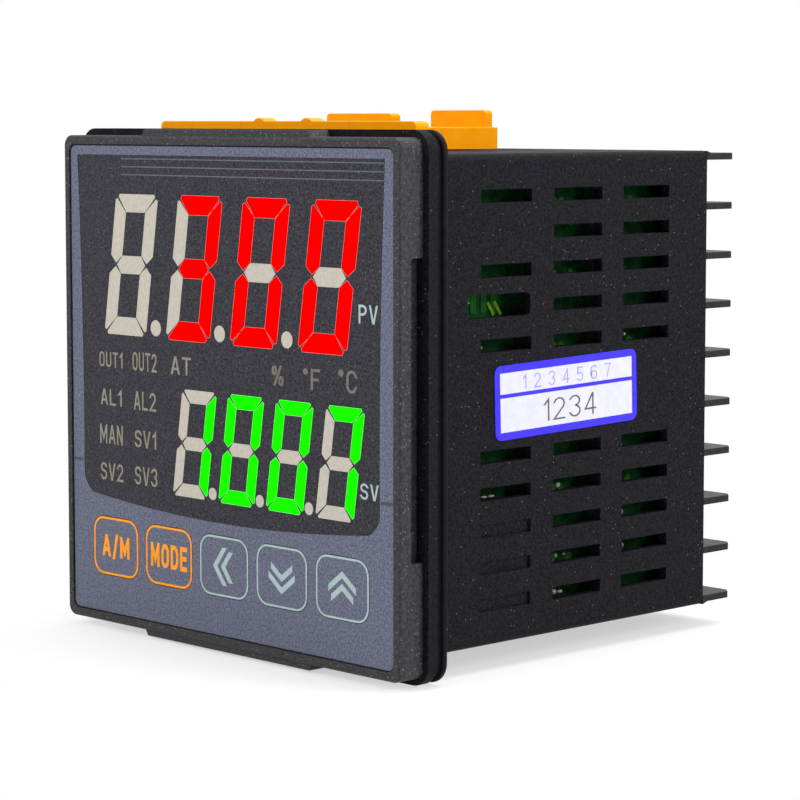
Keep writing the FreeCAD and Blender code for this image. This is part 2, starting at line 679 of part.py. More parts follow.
def front_frame():
    """Moulded front: rim, face plate, pads, side grips, skirt and snap hooks."""
    skirt_outline = rectangle(2 * HALF_SKIRT, 2 * HALF_SKIRT, bevel=SKIRT_BEVEL)
    skirt = prism("y", (FRAME_DEPTH, SKIRT_BACK), skirt_outline)
    hooks = [snap_hook(-HOOK_X), snap_hook(HOOK_X)]
    hooks += [mirror_z(hook) for hook in hooks]
    solid = join([frame_shell(), skirt, edge_pad(), mirror_z(edge_pad())])
    inside = prism("y", (FACE_BACK, SKIRT_BACK), rectangle(2 * HALF_INSIDE, 2 * HALF_INSIDE))
    seat = prism("y", (0, OVERLAY_BACK), rounded_outline(OVERLAY_SIZE, OVERLAY_SIZE, OVERLAY_RADIUS))
    half_grip = HALF_FRONT - GRIP_MARGIN
    grip = block((HALF_FRONT - GRIP_DEPTH, HALF_FRONT + GRIP_DEPTH), (GRIP_FRONT, FRAME_DEPTH),
                 (-half_grip, half_grip))
    openings = [inside, seat, grip, mirror_x(grip), window_prism((OVERLAY_BACK, WINDOW_BACK))]
    openings += [module_body(row, (WINDOW_BACK, FACE_BACK), MODULE_MARGIN + MODULE_FIT)
                 for row, _ in digit_rows().values()]
    openings += plunger_openings((OVERLAY_BACK, FACE_BACK))
    return join([solid.cut(group(openings))] + hooks)


def front_overlay():
    """Printed film over the face, open for the window and the keys."""
    span = (OVERLAY_RECESS, OVERLAY_BACK)
    film = prism("y", span, rounded_outline(OVERLAY_SIZE, OVERLAY_SIZE, OVERLAY_RADIUS))
    return film.cut(group([window_prism(span)] + cap_openings(span)))


# ================================================================ body
def row_height(row):
    """Middle height of a row of vents, counted from the top."""
    return ((VENT_ROWS - 1) / 2 - row) * VENT_PITCH


def vent_slot(column, row, depth):
    """One slot of the right wall's grid, cut inward from the outer face."""
    front = GASKET_BACK + VENT_FRONT_MARGIN + column * VENT_COLUMN_PITCH
    height = row_height(row)
    return block((HALF_BODY - depth, HALF_BODY), (front, front + VENT_WIDTH),
                 (height - VENT_HEIGHT / 2, height + VENT_HEIGHT / 2))


def right_vents():
    """Right wall: the first column gives way to the loader port and to blind recesses."""
    cuts = []
    for column in range(VENT_COLUMNS):
        for row in range(VENT_ROWS):
            if row in LABEL_ROWS or (column == 0 and row in (MISSING_ROW, PORT_ROW)):
                continue
            blind = column == 0 and row in BLIND_ROWS
            cuts.append(vent_slot(column, row, BLIND_DEPTH if blind else WALL))
    return cuts


def left_vents():
    """Left wall: the plain grid."""
    return [mirror_x(vent_slot(column, row, WALL))
            for column in range(VENT_COLUMNS) for row in range(VENT_ROWS) if row not in LABEL_ROWS]


def loader_port():
    """Opening for the loader plug in the right wall."""
    centre = (PORT_FRONT + PORT_LENGTH / 2, PORT_Z)
    outline = rounded_outline(PORT_LENGTH, PORT_HEIGHT, PORT_RADIUS, centre)
    return prism("x", (HALF_CAVITY, HALF_BODY), outline)


def guide_slot(side):
    """Slot in the top wall for one leg of the bracket, with a wide entry at its rear end for the foot."""
    inner = side * (LEG_X - LEG_THICKNESS / 2 - BRACKET_FIT)
    outer = side * (LEG_X + LEG_THICKNESS / 2 + BRACKET_FIT)
    entry = outer + side * FOOT_REACH
    step = TRACK_BACK - ENTRY_LENGTH
    outline = [(inner, TRACK_FRONT), (outer, TRACK_FRONT), (outer, step), (entry, step), (entry, TRACK_BACK),
               (inner, TRACK_BACK)]
    return prism("z", (HALF_CAVITY, HALF_BODY), outline)


def rack_notches():
    """Saw-tooth notches between the two slots, in the top wall's outer face."""
    notches = []
    for tooth in range(RACK_TEETH):
        start = GASKET_BACK + RACK_START + tooth * RACK_PITCH
        outline = [(start, HALF_BODY), (start + RACK_FLANK, HALF_BODY - RACK_DEPTH),
                   (start + RACK_PITCH - RACK_LAND, HALF_BODY)]
        notches.append(prism("x", (-RACK_WIDTH / 2, RACK_WIDTH / 2), outline))
    return notches


def wall_pockets():
    """Pockets in the top wall for the frame's hooks, and windows for the terminal block's latches."""
    cuts = []
    for side in (-1, 1):
        half = HOOK_WIDTH / 2 + HOOK_FIT
        cuts.append(block((side * HOOK_X - half, side * HOOK_X + half),
                          (HOOK_BACK - HOOK_CATCH_LENGTH - HOOK_FIT, HOOK_BACK + HOOK_FIT),
                          (HALF_CAVITY, HALF_SKIRT + HOOK_CATCH + HOOK_FIT)))
        cuts.append(block((side * LATCH_X - LATCH_WIDTH / 2, side * LATCH_X + LATCH_WIDTH / 2),
                          (BODY_BACK - LATCH_SETBACK - LATCH_DEPTH, BODY_BACK - LATCH_SETBACK),
                          (HALF_CAVITY, HALF_BODY)))
    return cuts


def board_guides():
    """Pairs of ribs on the top wall's inner face that hold the side boards."""
    span = (SIDE_BOARD_FRONT, TAIL_FRONT - GUIDE_STOP)
    ribs = []
    for side in (-1, 1):
        for inner in (SIDE_BOARD_X - GUIDE_WIDTH, SIDE_BOARD_X + BOARD_THICKNESS):
            ribs.append(block((side * inner, side * (inner + GUIDE_WIDTH)), span,
                              (HALF_CAVITY - GUIDE_HEIGHT, HALF_CAVITY)))
    return ribs


def case():
    """Body shell with the panel flange, vents, loader port, bracket tracks and board guides."""
    flange = rounded_prism("y", (FRAME_DEPTH, FLANGE_BACK), FLANGE_SIZE, FLANGE_SIZE, FLANGE_RADIUS)
    body = rounded_prism("y", (FLANGE_BACK, BODY_BACK), BODY_SIZE, BODY_SIZE, BODY_RADIUS)
    cavity = prism("y", (FRAME_DEPTH, BODY_BACK), rectangle(2 * HALF_CAVITY, 2 * HALF_CAVITY))
    top_cuts = [guide_slot(-1), guide_slot(1)] + rack_notches() + wall_pockets()
    cuts = right_vents() + left_vents() + [loader_port()]
    cuts += top_cuts + [mirror_z(cut) for cut in top_cuts]
    guides = board_guides()
    guides += [mirror_z(guide) for guide in guides]
    shell = join([flange, body]).cut(cavity).cut(group(cuts))
    return join([shell] + guides)


def panel_gasket():
    """Rubber ring behind the flange, with a groove round its front half."""
    groove_back = FLANGE_BACK + GROOVE_WIDTH
    neck_size = FLANGE_SIZE - 2 * GROOVE_DEPTH
    neck_outline = rounded_outline(neck_size, neck_size, FLANGE_RADIUS - GROOVE_DEPTH)
    neck = prism("y", (FLANGE_BACK, groove_back), neck_outline)
    lip = rounded_prism("y", (groove_back, GASKET_BACK), FLANGE_SIZE, FLANGE_SIZE, FLANGE_RADIUS)
    hole_size = BODY_SIZE + 2 * GASKET_FIT
    hole = prism("y", (FLANGE_BACK, GASKET_BACK), rounded_outline(hole_size, hole_size, BODY_RADIUS))
    return join([neck, lip]).cut(hole)


# ================================================================ boards and what they carry
def display_board():
    """Board behind the display and the keys."""
    size = 2 * (HALF_INSIDE - BOARD_FIT)
    return prism("y", (DISPLAY_BOARD_FRONT, DISPLAY_BOARD_BACK), rectangle(size, size))


def side_board():
    """Right-hand board, held edgewise in the guides."""
    return block((SIDE_BOARD_X, SIDE_BOARD_X + BOARD_THICKNESS), (SIDE_BOARD_FRONT, SIDE_BOARD_BACK),
                 (-HALF_CAVITY, HALF_CAVITY))


def board_headers():
    """Pin headers between the display board and the side boards."""
    span = (DISPLAY_BOARD_BACK, SIDE_BOARD_FRONT + HEADER_OVERLAP)
    heights = (-HEADER_HEIGHT / 2, HEADER_HEIGHT / 2)
    header = block((SIDE_BOARD_X - HEADER_THICKNESS, SIDE_BOARD_X), span, heights)
    return group([header, mirror_x(header)])


def relays():
    """Output relays on the left-hand board."""
    front = SIDE_BOARD_FRONT + RELAY["front"]
    cases = []
    for index in range(RELAY_COUNT):
        low = PART_MARGIN - PART_REACH + index * RELAY_PITCH
        reach = (-SIDE_BOARD_X, -SIDE_BOARD_X + RELAY["height"])
        cases.append(block(reach, (front, front + RELAY["length"]), (low, low + RELAY["width"])))
    return group(cases)


def power_transformer():
    """Ferrite core on its bobbin, with the winding showing at both ends."""
    middle = SIDE_BOARD_FRONT + CORE["front"] + CORE["length"] / 2
    foot = SIDE_BOARD_X - CORE["stand"]
    bobbin = prism("x", (foot, SIDE_BOARD_X), rectangle(BOBBIN["length"], BOBBIN["width"], (middle, 0)))
    core = prism("x", (foot - CORE["height"], foot), rectangle(CORE["length"], CORE["width"], (middle, 0)))
    coil_middle = (foot - CORE["height"] / 2, middle)
    coil = prism("z", (-WINDING["width"] / 2, WINDING["width"] / 2),
                 rectangle(WINDING["height"], WINDING["length"], coil_middle, WINDING["bevel"]))
    return join([core, bobbin, coil])


def can_on_board(can, side):
    """One capacitor can standing off the right-hand board."""
    centre = (SIDE_BOARD_FRONT + can["front"], side * (PART_REACH - can["margin"]))
    return many_sided("x", (SIDE_BOARD_X - can["length"], SIDE_BOARD_X), can["radius"], centre)


def electrolytic_capacitors():
    """The right-hand board's three capacitors."""
    return group([can_on_board(LARGE_CAN, 1), can_on_board(LARGE_CAN, -1), can_on_board(SMALL_CAN, -1)])


def microcontroller():
    """Square controller chip on the inner face of the right-hand board."""
    front = SIDE_BOARD_FRONT + PROCESSOR["front"]
    high = PART_REACH - PART_MARGIN
    return block((SIDE_BOARD_X - PROCESSOR["thickness"], SIDE_BOARD_X), (front, front + PROCESSOR["size"]),
                 (high - PROCESSOR["size"], high))


def loader_pads():
    """Contact strips on the right-hand board, seen through the loader port."""
    outer = SIDE_BOARD_X + BOARD_THICKNESS
    half = PORT_HEIGHT / 2 - PADS["margin"]
    pads = []
    for index in range(PADS["count"]):
        front = PORT_FRONT + PADS["front"] + index * PADS["pitch"]
        pads.append(block((outer, outer + PADS["thickness"]), (front, front + PADS["width"]),
                          (PORT_Z - half, PORT_Z + half)))
    return group(pads)


# ================================================================ terminals
def terminal_heights():
    """Middle height of each terminal, top to bottom."""
    first = (TERMINALS_PER_COLUMN - 1) / 2
    return [(first - index) * TERMINAL_PITCH for index in range(TERMINALS_PER_COLUMN)]


def barriers():
    """Right-hand column's barriers, one plan outline repeated, and the spine along their inner ends."""
    outline = [(BARRIER_INNER_X, BODY_BACK), (HALF_BODY, BODY_BACK),
               (HALF_BODY, BARRIER_BACK - BARRIER_BEVEL), (HALF_BODY - BARRIER_BEVEL, BARRIER_BACK),
               (BARRIER_INNER_X, BARRIER_BACK)]
    half_column = TERMINALS_PER_COLUMN / 2 * TERMINAL_PITCH
    pieces = []
    for index in range(TERMINALS_PER_COLUMN + 1):
        low = -half_column + index * TERMINAL_PITCH - BARRIER_THICKNESS / 2
        pieces.append(prism("z", (low, low + BARRIER_THICKNESS), outline))
    spine_span = (BODY_BACK, BODY_BACK + SPINE_DEPTH)
    spine_inner = BARRIER_INNER_X - SPINE_THICKNESS
    pieces.append(block((spine_inner, BARRIER_INNER_X), spine_span, (-half_column, half_column)))
    return pieces


def edge_rail():
    """Lip along the top of the block, from the outermost barrier outward, thinner towards its rear edge."""
    low = (TERMINALS_PER_COLUMN * TERMINAL_PITCH - BARRIER_THICKNESS) / 2
    back = BODY_BACK + RAIL_DEPTH
    outline = [(BODY_BACK, low), (back, low), (back, (low + HALF_BODY) / 2), (BODY_BACK, HALF_BODY)]
    return prism("x", (-HALF_BODY, HALF_BODY), outline)


def terminal_base():
    """Plate that closes the body's rear end, with one slot per terminal for the screw's end and the tail."""
    base = block((-HALF_CAVITY, HALF_CAVITY), (BLOCK_FRONT, BODY_BACK), (-HALF_CAVITY, HALF_CAVITY))
    half = CONTACT_HEIGHT / 2 + SLOT_FIT
    reach = (SCREW_X - SCREW_RADIUS - SLOT_FIT, SIDE_BOARD_X + SLOT_FIT)
    slots = [block(reach, (BLOCK_FRONT, BODY_BACK), (height - half, height + half))
             for height in terminal_heights()]
    slots += [mirror_x(slot) for slot in slots]
    return base.cut(group(slots))


def terminal_latch(x):
    """Sloped latch nose on the block's top edge, which sits in the body's window."""
    top = HALF_BODY - LATCH_RECESS
    back = BODY_BACK - LATCH_SETBACK
    outline = [(back - LATCH_DEPTH, HALF_CAVITY - LATCH_ROOT), (back, HALF_CAVITY - LATCH_ROOT), (back, top),
               (back - LATCH_DEPTH / 2, top), (back - LATCH_DEPTH, HALF_CAVITY)]
    return prism("x", (x - LATCH_WIDTH / 2, x + LATCH_WIDTH / 2), outline)


def terminal_block():
    """Rear moulding: base, centre land, two combs of barriers, edge rails and latches."""
    land_width = 2 * (BARRIER_INNER_X - SPINE_THICKNESS - LAND_MARGIN)
    land_outline = rectangle(land_width, LAND_HEIGHT, bevel=LAND_MARGIN)
    land = prism("y", (BODY_BACK, BODY_BACK + LAND_DEPTH), land_outline)
    rails = [edge_rail(), mirror_z(edge_rail())]
    latches = [terminal_latch(-LATCH_X), terminal_latch(LATCH_X)]
    latches += [mirror_z(latch) for latch in latches]
    combs = barriers() + [mirror_x(piece) for piece in barriers()]
    return join([terminal_base(), land] + combs + rails + latches)


def contact_at(height):
    """Contact under one screw: an angle whose plate takes the screw and whose tail meets the side board."""
    inner = BARRIER_INNER_X + CONTACT_SETBACK
    outline = [(inner, CLAMP_FRONT), (inner, BODY_BACK),
               (TAIL_INNER_X, BODY_BACK), (TAIL_INNER_X, TAIL_FRONT), (SIDE_BOARD_X, TAIL_FRONT),
               (SIDE_BOARD_X, BODY_BACK), (SCREW_X + CONTACT_OUTER, BODY_BACK),
               (SCREW_X + CONTACT_OUTER, CLAMP_FRONT)]
    half = CONTACT_HEIGHT / 2
    angle = prism("z", (height - half, height + half), outline)
    return angle.cut(screw_shank(height))


def clamp_at(height):
    """Square clamp washer."""
    plate = prism("y", (CLAMP_FRONT, HEAD_FRONT), rectangle(CLAMP_SIZE, CLAMP_SIZE, (SCREW_X, height)))
    return plate.cut(screw_shank(height))


def screw_shank(height):
    """Shank of one screw, drawn six-sided; it passes through the clamp and the contact."""
    return many_sided("y", (HEAD_FRONT - SCREW_LENGTH, HEAD_FRONT), SCREW_RADIUS, (SCREW_X, height),
                      SMALL_ROUND_SIDES // 2)


def screw_at(height):
    """Pan-head terminal screw, driven from the rear."""
    span = (HEAD_FRONT, HEAD_FRONT + HEAD_HEIGHT)
    head = many_sided("y", span, CLAMP_SIZE / 2 - HEAD_MARGIN, (SCREW_X, height))
    return join([head, screw_shank(height)])


def both_columns(piece_at):
    """One piece per terminal, on both sides."""
    right = [piece_at(height) for height in terminal_heights()]
    return group(right + [mirror_x(piece) for piece in right])


# ================================================================ bracket and label
def bracket_bar():
    """Bar that presses on the panel: rounded ends and two low round bumps, drawn from the front."""
    half = BAR_LENGTH / 2
    top = BRACKET_FLOOR + BAR_HEIGHT
    reach = math.sqrt(BUMP_RADIUS ** 2 - (BUMP_RADIUS - BUMP_RISE) ** 2)
    shoulder = BAR_RADIUS * (1 - math.cos(math.radians(45)))

    def at(x, z):
        return Vector(x, BRACKET_FRONT, z)

    side_end = at(half, top - BAR_RADIUS)
    top_end = at(half - BAR_RADIUS, top)
    bump_outer = at(BUMP_X + reach, top)
    bump_inner = at(BUMP_X - reach, top)
    right = [Part.LineSegment(at(half, BRACKET_FLOOR), side_end),
             Part.Arc(side_end, at(half - shoulder, top - shoulder), top_end),
             Part.LineSegment(top_end, bump_outer),
             Part.Arc(bump_outer, at(BUMP_X, top + BUMP_RISE), bump_inner),
             Part.LineSegment(bump_inner, at(0, top))]
    right_edges = [curve.toShape() for curve in right]
    floor = Part.LineSegment(at(-half, BRACKET_FLOOR), at(half, BRACKET_FLOOR)).toShape()
    left_edges = [mirror_x(edge) for edge in reversed(right_edges)]
    return extruded("y", (BRACKET_FRONT, BRACKET_FRONT + BAR_DEPTH), [floor] + right_edges + left_edges)


def bracket_gusset():
    """Web that spreads from the tongue to the bar, drawn from above."""
    bar_back = BRACKET_FRONT + BAR_DEPTH
    outline = [(-GUSSET_WIDTH / 2, bar_back), (GUSSET_WIDTH / 2, bar_back),
               (TONGUE_WIDTH / 2, bar_back + GUSSET_LENGTH), (-TONGUE_WIDTH / 2, bar_back + GUSSET_LENGTH)]
    return prism("z", (BRACKET_FLOOR, BRACKET_FLOOR + TONGUE_FLOOR), outline)


def bracket_tongue():
    """Channel-shaped tongue, drawn from the front, closed by a heel at its rear end."""
    back = BRACKET_FRONT + TONGUE_LENGTH
    half = TONGUE_WIDTH / 2
    inner = half - TONGUE_RAIL
    floor_top = BRACKET_FLOOR + TONGUE_FLOOR
    top = BRACKET_FLOOR + TONGUE_HEIGHT
    outline = [(-half, BRACKET_FLOOR), (half, BRACKET_FLOOR), (half, top), (inner, top), (inner, floor_top),
               (-inner, floor_top), (-inner, top), (-half, top)]
    channel = prism("y", (BRACKET_FRONT + BAR_DEPTH, back), outline)
    heel = block((-half, half), (back - HEEL_LENGTH, back), (BRACKET_FLOOR, top))
    return join([channel, heel])


def upright_wall(wall, front):
    """Wall across the tongue with rounded top corners, drawn from the front."""
    height = wall["height"] + WALL_RADIUS
    centre = (0, BRACKET_FLOOR + wall["height"] - height / 2)
    whole = prism("y", (front, front + wall["thickness"]),
                  rounded_outline(wall["width"], height, WALL_RADIUS, centre))
    below = block((-wall["width"], wall["width"]), (front, front + wall["thickness"]),
                  (BRACKET_FLOOR - wall["height"], BRACKET_FLOOR))
    return whole.cut(below)


def bracket_foot(side):
    """Leg through a guide slot with a foot that hooks under the wall, drawn from the front."""
    inner = side * (LEG_X - LEG_THICKNESS / 2)
    outer = side * (LEG_X + LEG_THICKNESS / 2)
    reach = outer + side * FOOT_REACH
    under = HALF_CAVITY - BRACKET_FIT
    sole = under - FOOT_THICKNESS
    head = BRACKET_FLOOR + LEG_SINK
    front = BRACKET_FRONT + FOOT_START
    outline = [(inner, head), (outer, head), (outer, under), (reach, under), (reach, sole), (inner, sole)]
    return prism("y", (front, front + FOOT_LENGTH), outline)


def finger_slit(side):
    """Slit that frees one side of the spring finger in the tongue's floor."""
    outer = side * FINGER_WIDTH / 2
    return block((outer - side * FINGER_SLIT, outer),
                 (BRACKET_FRONT + FINGER_START, BRACKET_FRONT + TONGUE_LENGTH - HEEL_LENGTH),
                 (BRACKET_FLOOR, BRACKET_FLOOR + TONGUE_FLOOR))


def mounting_bracket():
    """Sliding bracket: panel bar, gusset, channelled tongue with a spring finger, walls and feet."""
    pieces = [bracket_tongue(), bracket_gusset(), bracket_bar()]
    pieces.append(upright_wall(CROSS_WALL, BRACKET_FRONT + CROSS_START))
    pieces.append(upright_wall(THUMB_WALL, BRACKET_FRONT + TONGUE_LENGTH - THUMB_SETBACK))
    slits = group([finger_slit(-1), finger_slit(1)])
    return join([join(pieces).cut(slits), bracket_foot(-1), bracket_foot(1)])


def inspection_label():
    """Small label on the right wall, put on slightly askew."""
    middle = GASKET_BACK + LABEL_START + LABEL_LENGTH / 2
    outline = rounded_outline(LABEL_LENGTH, LABEL_HEIGHT, LABEL_RADIUS, (middle, 0))
    label = prism("x", (HALF_BODY, HALF_BODY + LABEL_THICKNESS), outline)
    label.rotate(Vector(0, middle, 0), Vector(1, 0, 0), LABEL_TILT)
    return label


# ================================================================ whole object
def build_nodes():
    """Every piece of the controller, by node name."""
    nodes = {
        "front_frame": front_frame(),
        "front_overlay": front_overlay(),
        "display_window": display_window(),
        "display_reflector": display_reflector(),
        "display_leds": display_leds(),
        "tact_switches": tact_switches(),
        "switch_domes": switch_domes(),
        "display_board": display_board(),
        "case": case(),
        "panel_gasket": panel_gasket(),
        "side_board_right": side_board(),
        "side_board_left": mirror_x(side_board()),
        "board_headers": board_headers(),
        "relays": relays(),
        "power_transformer": power_transformer(),
        "electrolytic_capacitors": electrolytic_capacitors(),
        "microcontroller": microcontroller(),
        "loader_pads": loader_pads(),
        "terminal_block": terminal_block(),
        "terminal_contacts": both_columns(contact_at),
        "terminal_clamps": both_columns(clamp_at),
        "terminal_screws": both_columns(screw_at),
        "mounting_bracket": mounting_bracket(),
        "inspection_label": inspection_label(),
    }
    nodes.update(segment_nodes())
    for name, centre in zip(KEY_NODES, key_centres()):
        nodes[name] = key_at(centre)
    return nodes


def place_and_export(nodes):
    """Move the origin to the middle of the bounding box's bottom face and write one STEP per node."""
    offset = Vector(0, -BARRIER_BACK / 2, FLANGE_SIZE / 2)
    for name, shape in nodes.items():
        shape.translate(offset)
        shape.exportStep(f"parts/{name}.step")


os.makedirs("parts", exist_ok=True)
place_and_export(build_nodes())
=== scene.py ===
import json
import logging
import math
from dataclasses import dataclass
from enum import Enum
from functools import cache

import bmesh
import bpy
from mathutils import Matrix, Vector


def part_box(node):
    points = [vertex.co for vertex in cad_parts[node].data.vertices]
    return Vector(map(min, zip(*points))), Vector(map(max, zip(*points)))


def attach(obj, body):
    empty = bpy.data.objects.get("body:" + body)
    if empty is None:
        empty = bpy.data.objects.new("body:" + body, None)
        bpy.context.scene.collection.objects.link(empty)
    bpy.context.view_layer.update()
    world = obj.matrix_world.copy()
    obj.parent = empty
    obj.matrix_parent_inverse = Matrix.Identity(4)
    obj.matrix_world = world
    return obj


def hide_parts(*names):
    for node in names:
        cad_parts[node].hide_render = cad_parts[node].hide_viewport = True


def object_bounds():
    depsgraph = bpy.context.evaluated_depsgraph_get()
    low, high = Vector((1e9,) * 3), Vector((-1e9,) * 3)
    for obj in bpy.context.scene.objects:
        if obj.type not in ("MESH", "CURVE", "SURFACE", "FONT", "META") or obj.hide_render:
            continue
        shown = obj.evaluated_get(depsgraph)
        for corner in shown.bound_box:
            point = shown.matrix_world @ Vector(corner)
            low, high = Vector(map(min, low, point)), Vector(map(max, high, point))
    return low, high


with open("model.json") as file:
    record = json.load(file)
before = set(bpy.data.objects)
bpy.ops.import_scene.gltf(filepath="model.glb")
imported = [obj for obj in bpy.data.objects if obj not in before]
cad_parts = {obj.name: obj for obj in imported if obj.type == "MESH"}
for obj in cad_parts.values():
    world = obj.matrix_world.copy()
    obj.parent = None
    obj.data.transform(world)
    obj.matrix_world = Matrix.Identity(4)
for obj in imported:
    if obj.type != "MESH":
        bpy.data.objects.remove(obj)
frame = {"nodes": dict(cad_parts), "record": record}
CAD_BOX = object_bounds()

logging.basicConfig(level=logging.INFO, format="%(message)s")
log = logging.getLogger("controller")

MM = 0.001
PRINT_LEVEL = 0.002 * MM
# Welding distances and the angles that tell a flat wall from an edge.
WELD = 0.001 * MM
SMOOTH_BELOW = math.radians(35)
FLAT_WITHIN = math.radians(0.8)
EDGE_ABOVE = math.radians(32)
SHORTEST_MITRE = 0.35
SAME_SPOT = 0.001
SPUN_WELD = 0.0000005
WALL_WEIGHT = 100
FACE_SKIN = 0.01 * MM
CONTROLLER = "controller"
Mesh = bmesh.types.BMesh
Tree = bpy.types.NodeTree
Triple = tuple[float, float, float]
Path = list[tuple[float, float]]
Link = tuple[bpy.types.Node, str | int, bpy.types.Node, str | int]


# ---------------------------------------------------------------- small helpers
def node_box(name: str) -> tuple[Vector, Vector]:
    """Lowest and highest corner of a construction node, in metres in the row frame."""
    low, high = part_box(name)
    return Vector(low), Vector(high)


def islands(name: str) -> list[tuple[Vector, Vector]]:
    """Lowest and highest corner of each separate piece of a construction node.

    Args:
        name: The node's name in the frame.

    Returns:
        A pair of corners for each piece, sorted by depth, then by height, then across.
    """
    source = bmesh.new()
    source.from_mesh(frame["nodes"][name].data)
    bmesh.ops.remove_doubles(source, verts=source.verts, dist=WELD)
    boxes = []
    left = set(source.verts)
    while left:
        waiting = [left.pop()]
        spots = []
        while waiting:
            vertex = waiting.pop()
            spots.append(vertex.co.copy())
            near = left.intersection(edge.other_vert(vertex) for edge in vertex.link_edges)
            left -= near
            waiting.extend(near)
        boxes.append(tuple(Vector([pick(along) for along in zip(*spots)]) for pick in (min, max)))
    source.free()
    return sorted(boxes, key=lambda corners: [round(corners[0][axis] / MM, 2) for axis in (1, 2, 0)])


def moved(mesh: Mesh, place: Triple) -> Mesh:
    """Moves a mesh and hands it back."""
    bmesh.ops.translate(mesh, verts=mesh.verts, vec=place)
    return mesh


def rotated(mesh: Mesh, degrees: float, axis: str) -> Mesh:
    """Turns a mesh about an axis through the origin and hands it back."""
    bmesh.ops.rotate(mesh, verts=mesh.verts, matrix=Matrix.Rotation(math.radians(degrees), 3, axis))
    return mesh


def rounded_face(width: float, height: float, radius: float = 0.0, segments: int = 6) -> Mesh:
    """One flat face that looks forward, with round corners where a radius is given.

    Args:
        width: Size along X.
        height: Size along Z.
        radius: Radius of the corners.
        segments: Sides of each round corner.

    Returns:
        A mesh with its middle at the origin.
    """
    sheet = bmesh.new()
    bmesh.ops.create_grid(sheet, x_segments=1, y_segments=1, size=0.5)
    bmesh.ops.scale(sheet, verts=sheet.verts, vec=(width, height, 1.0))
    if radius > 0.0:
        bmesh.ops.bevel(sheet, geom=sheet.verts[:], offset=radius, affect="VERTICES", segments=segments,
                        profile=0.5, material=-1)
    rotated(sheet, 90, "X")
    return sheet


def outlined(sheet: Mesh, thickness: float) -> Mesh:
    """Keeps only the outermost strip of each flat face.

    Args:
        sheet: Flat faces.
        thickness: Width of the strip.

    Returns:
        The same mesh, opened in the middle.
    """
    middles = sheet.faces[:]
    bmesh.ops.inset_individual(sheet, faces=middles, thickness=thickness, use_even_offset=True)
    bmesh.ops.delete(sheet, geom=middles, context="FACES")
    return sheet


def raised(sheet: Mesh, thickness: float) -> Mesh:
    """Gives forward-looking flat faces a thickness towards the front.

    Args:
        sheet: Flat faces.
        thickness: How thick they become.

    Returns:
        The same mesh, closed.
    """
    grown = bmesh.ops.extrude_face_region(sheet, geom=sheet.faces[:], use_keep_orig=True)
    fronts = [item for item in grown["geom"] if isinstance(item, bmesh.types.BMVert)]
    bmesh.ops.translate(sheet, verts=fronts, vec=(0, -thickness, 0))
    bmesh.ops.recalc_face_normals(sheet, faces=sheet.faces)
    return sheet


def bow(across: float, up: float, start: int, stop: int, half: float = 0.28, tall: float = 0.25) -> Path:
    """Points on an oval, from one angle to another in steps of about 30 degrees.

    Args:
        across: The oval's middle, across.
        up: The oval's middle, upwards.
        start: The first angle in degrees.
        stop: The last angle in degrees.
        half: Half the oval's width.
        tall: Half its height.

    Returns:
        The points, across and up.
    """
    steps = max(2, abs(stop - start) // 30)
    turns = [math.radians(start + (stop - start) * step / steps) for step in range(steps + 1)]
    return [(across + half * math.cos(turn), up + tall * math.sin(turn)) for turn in turns]


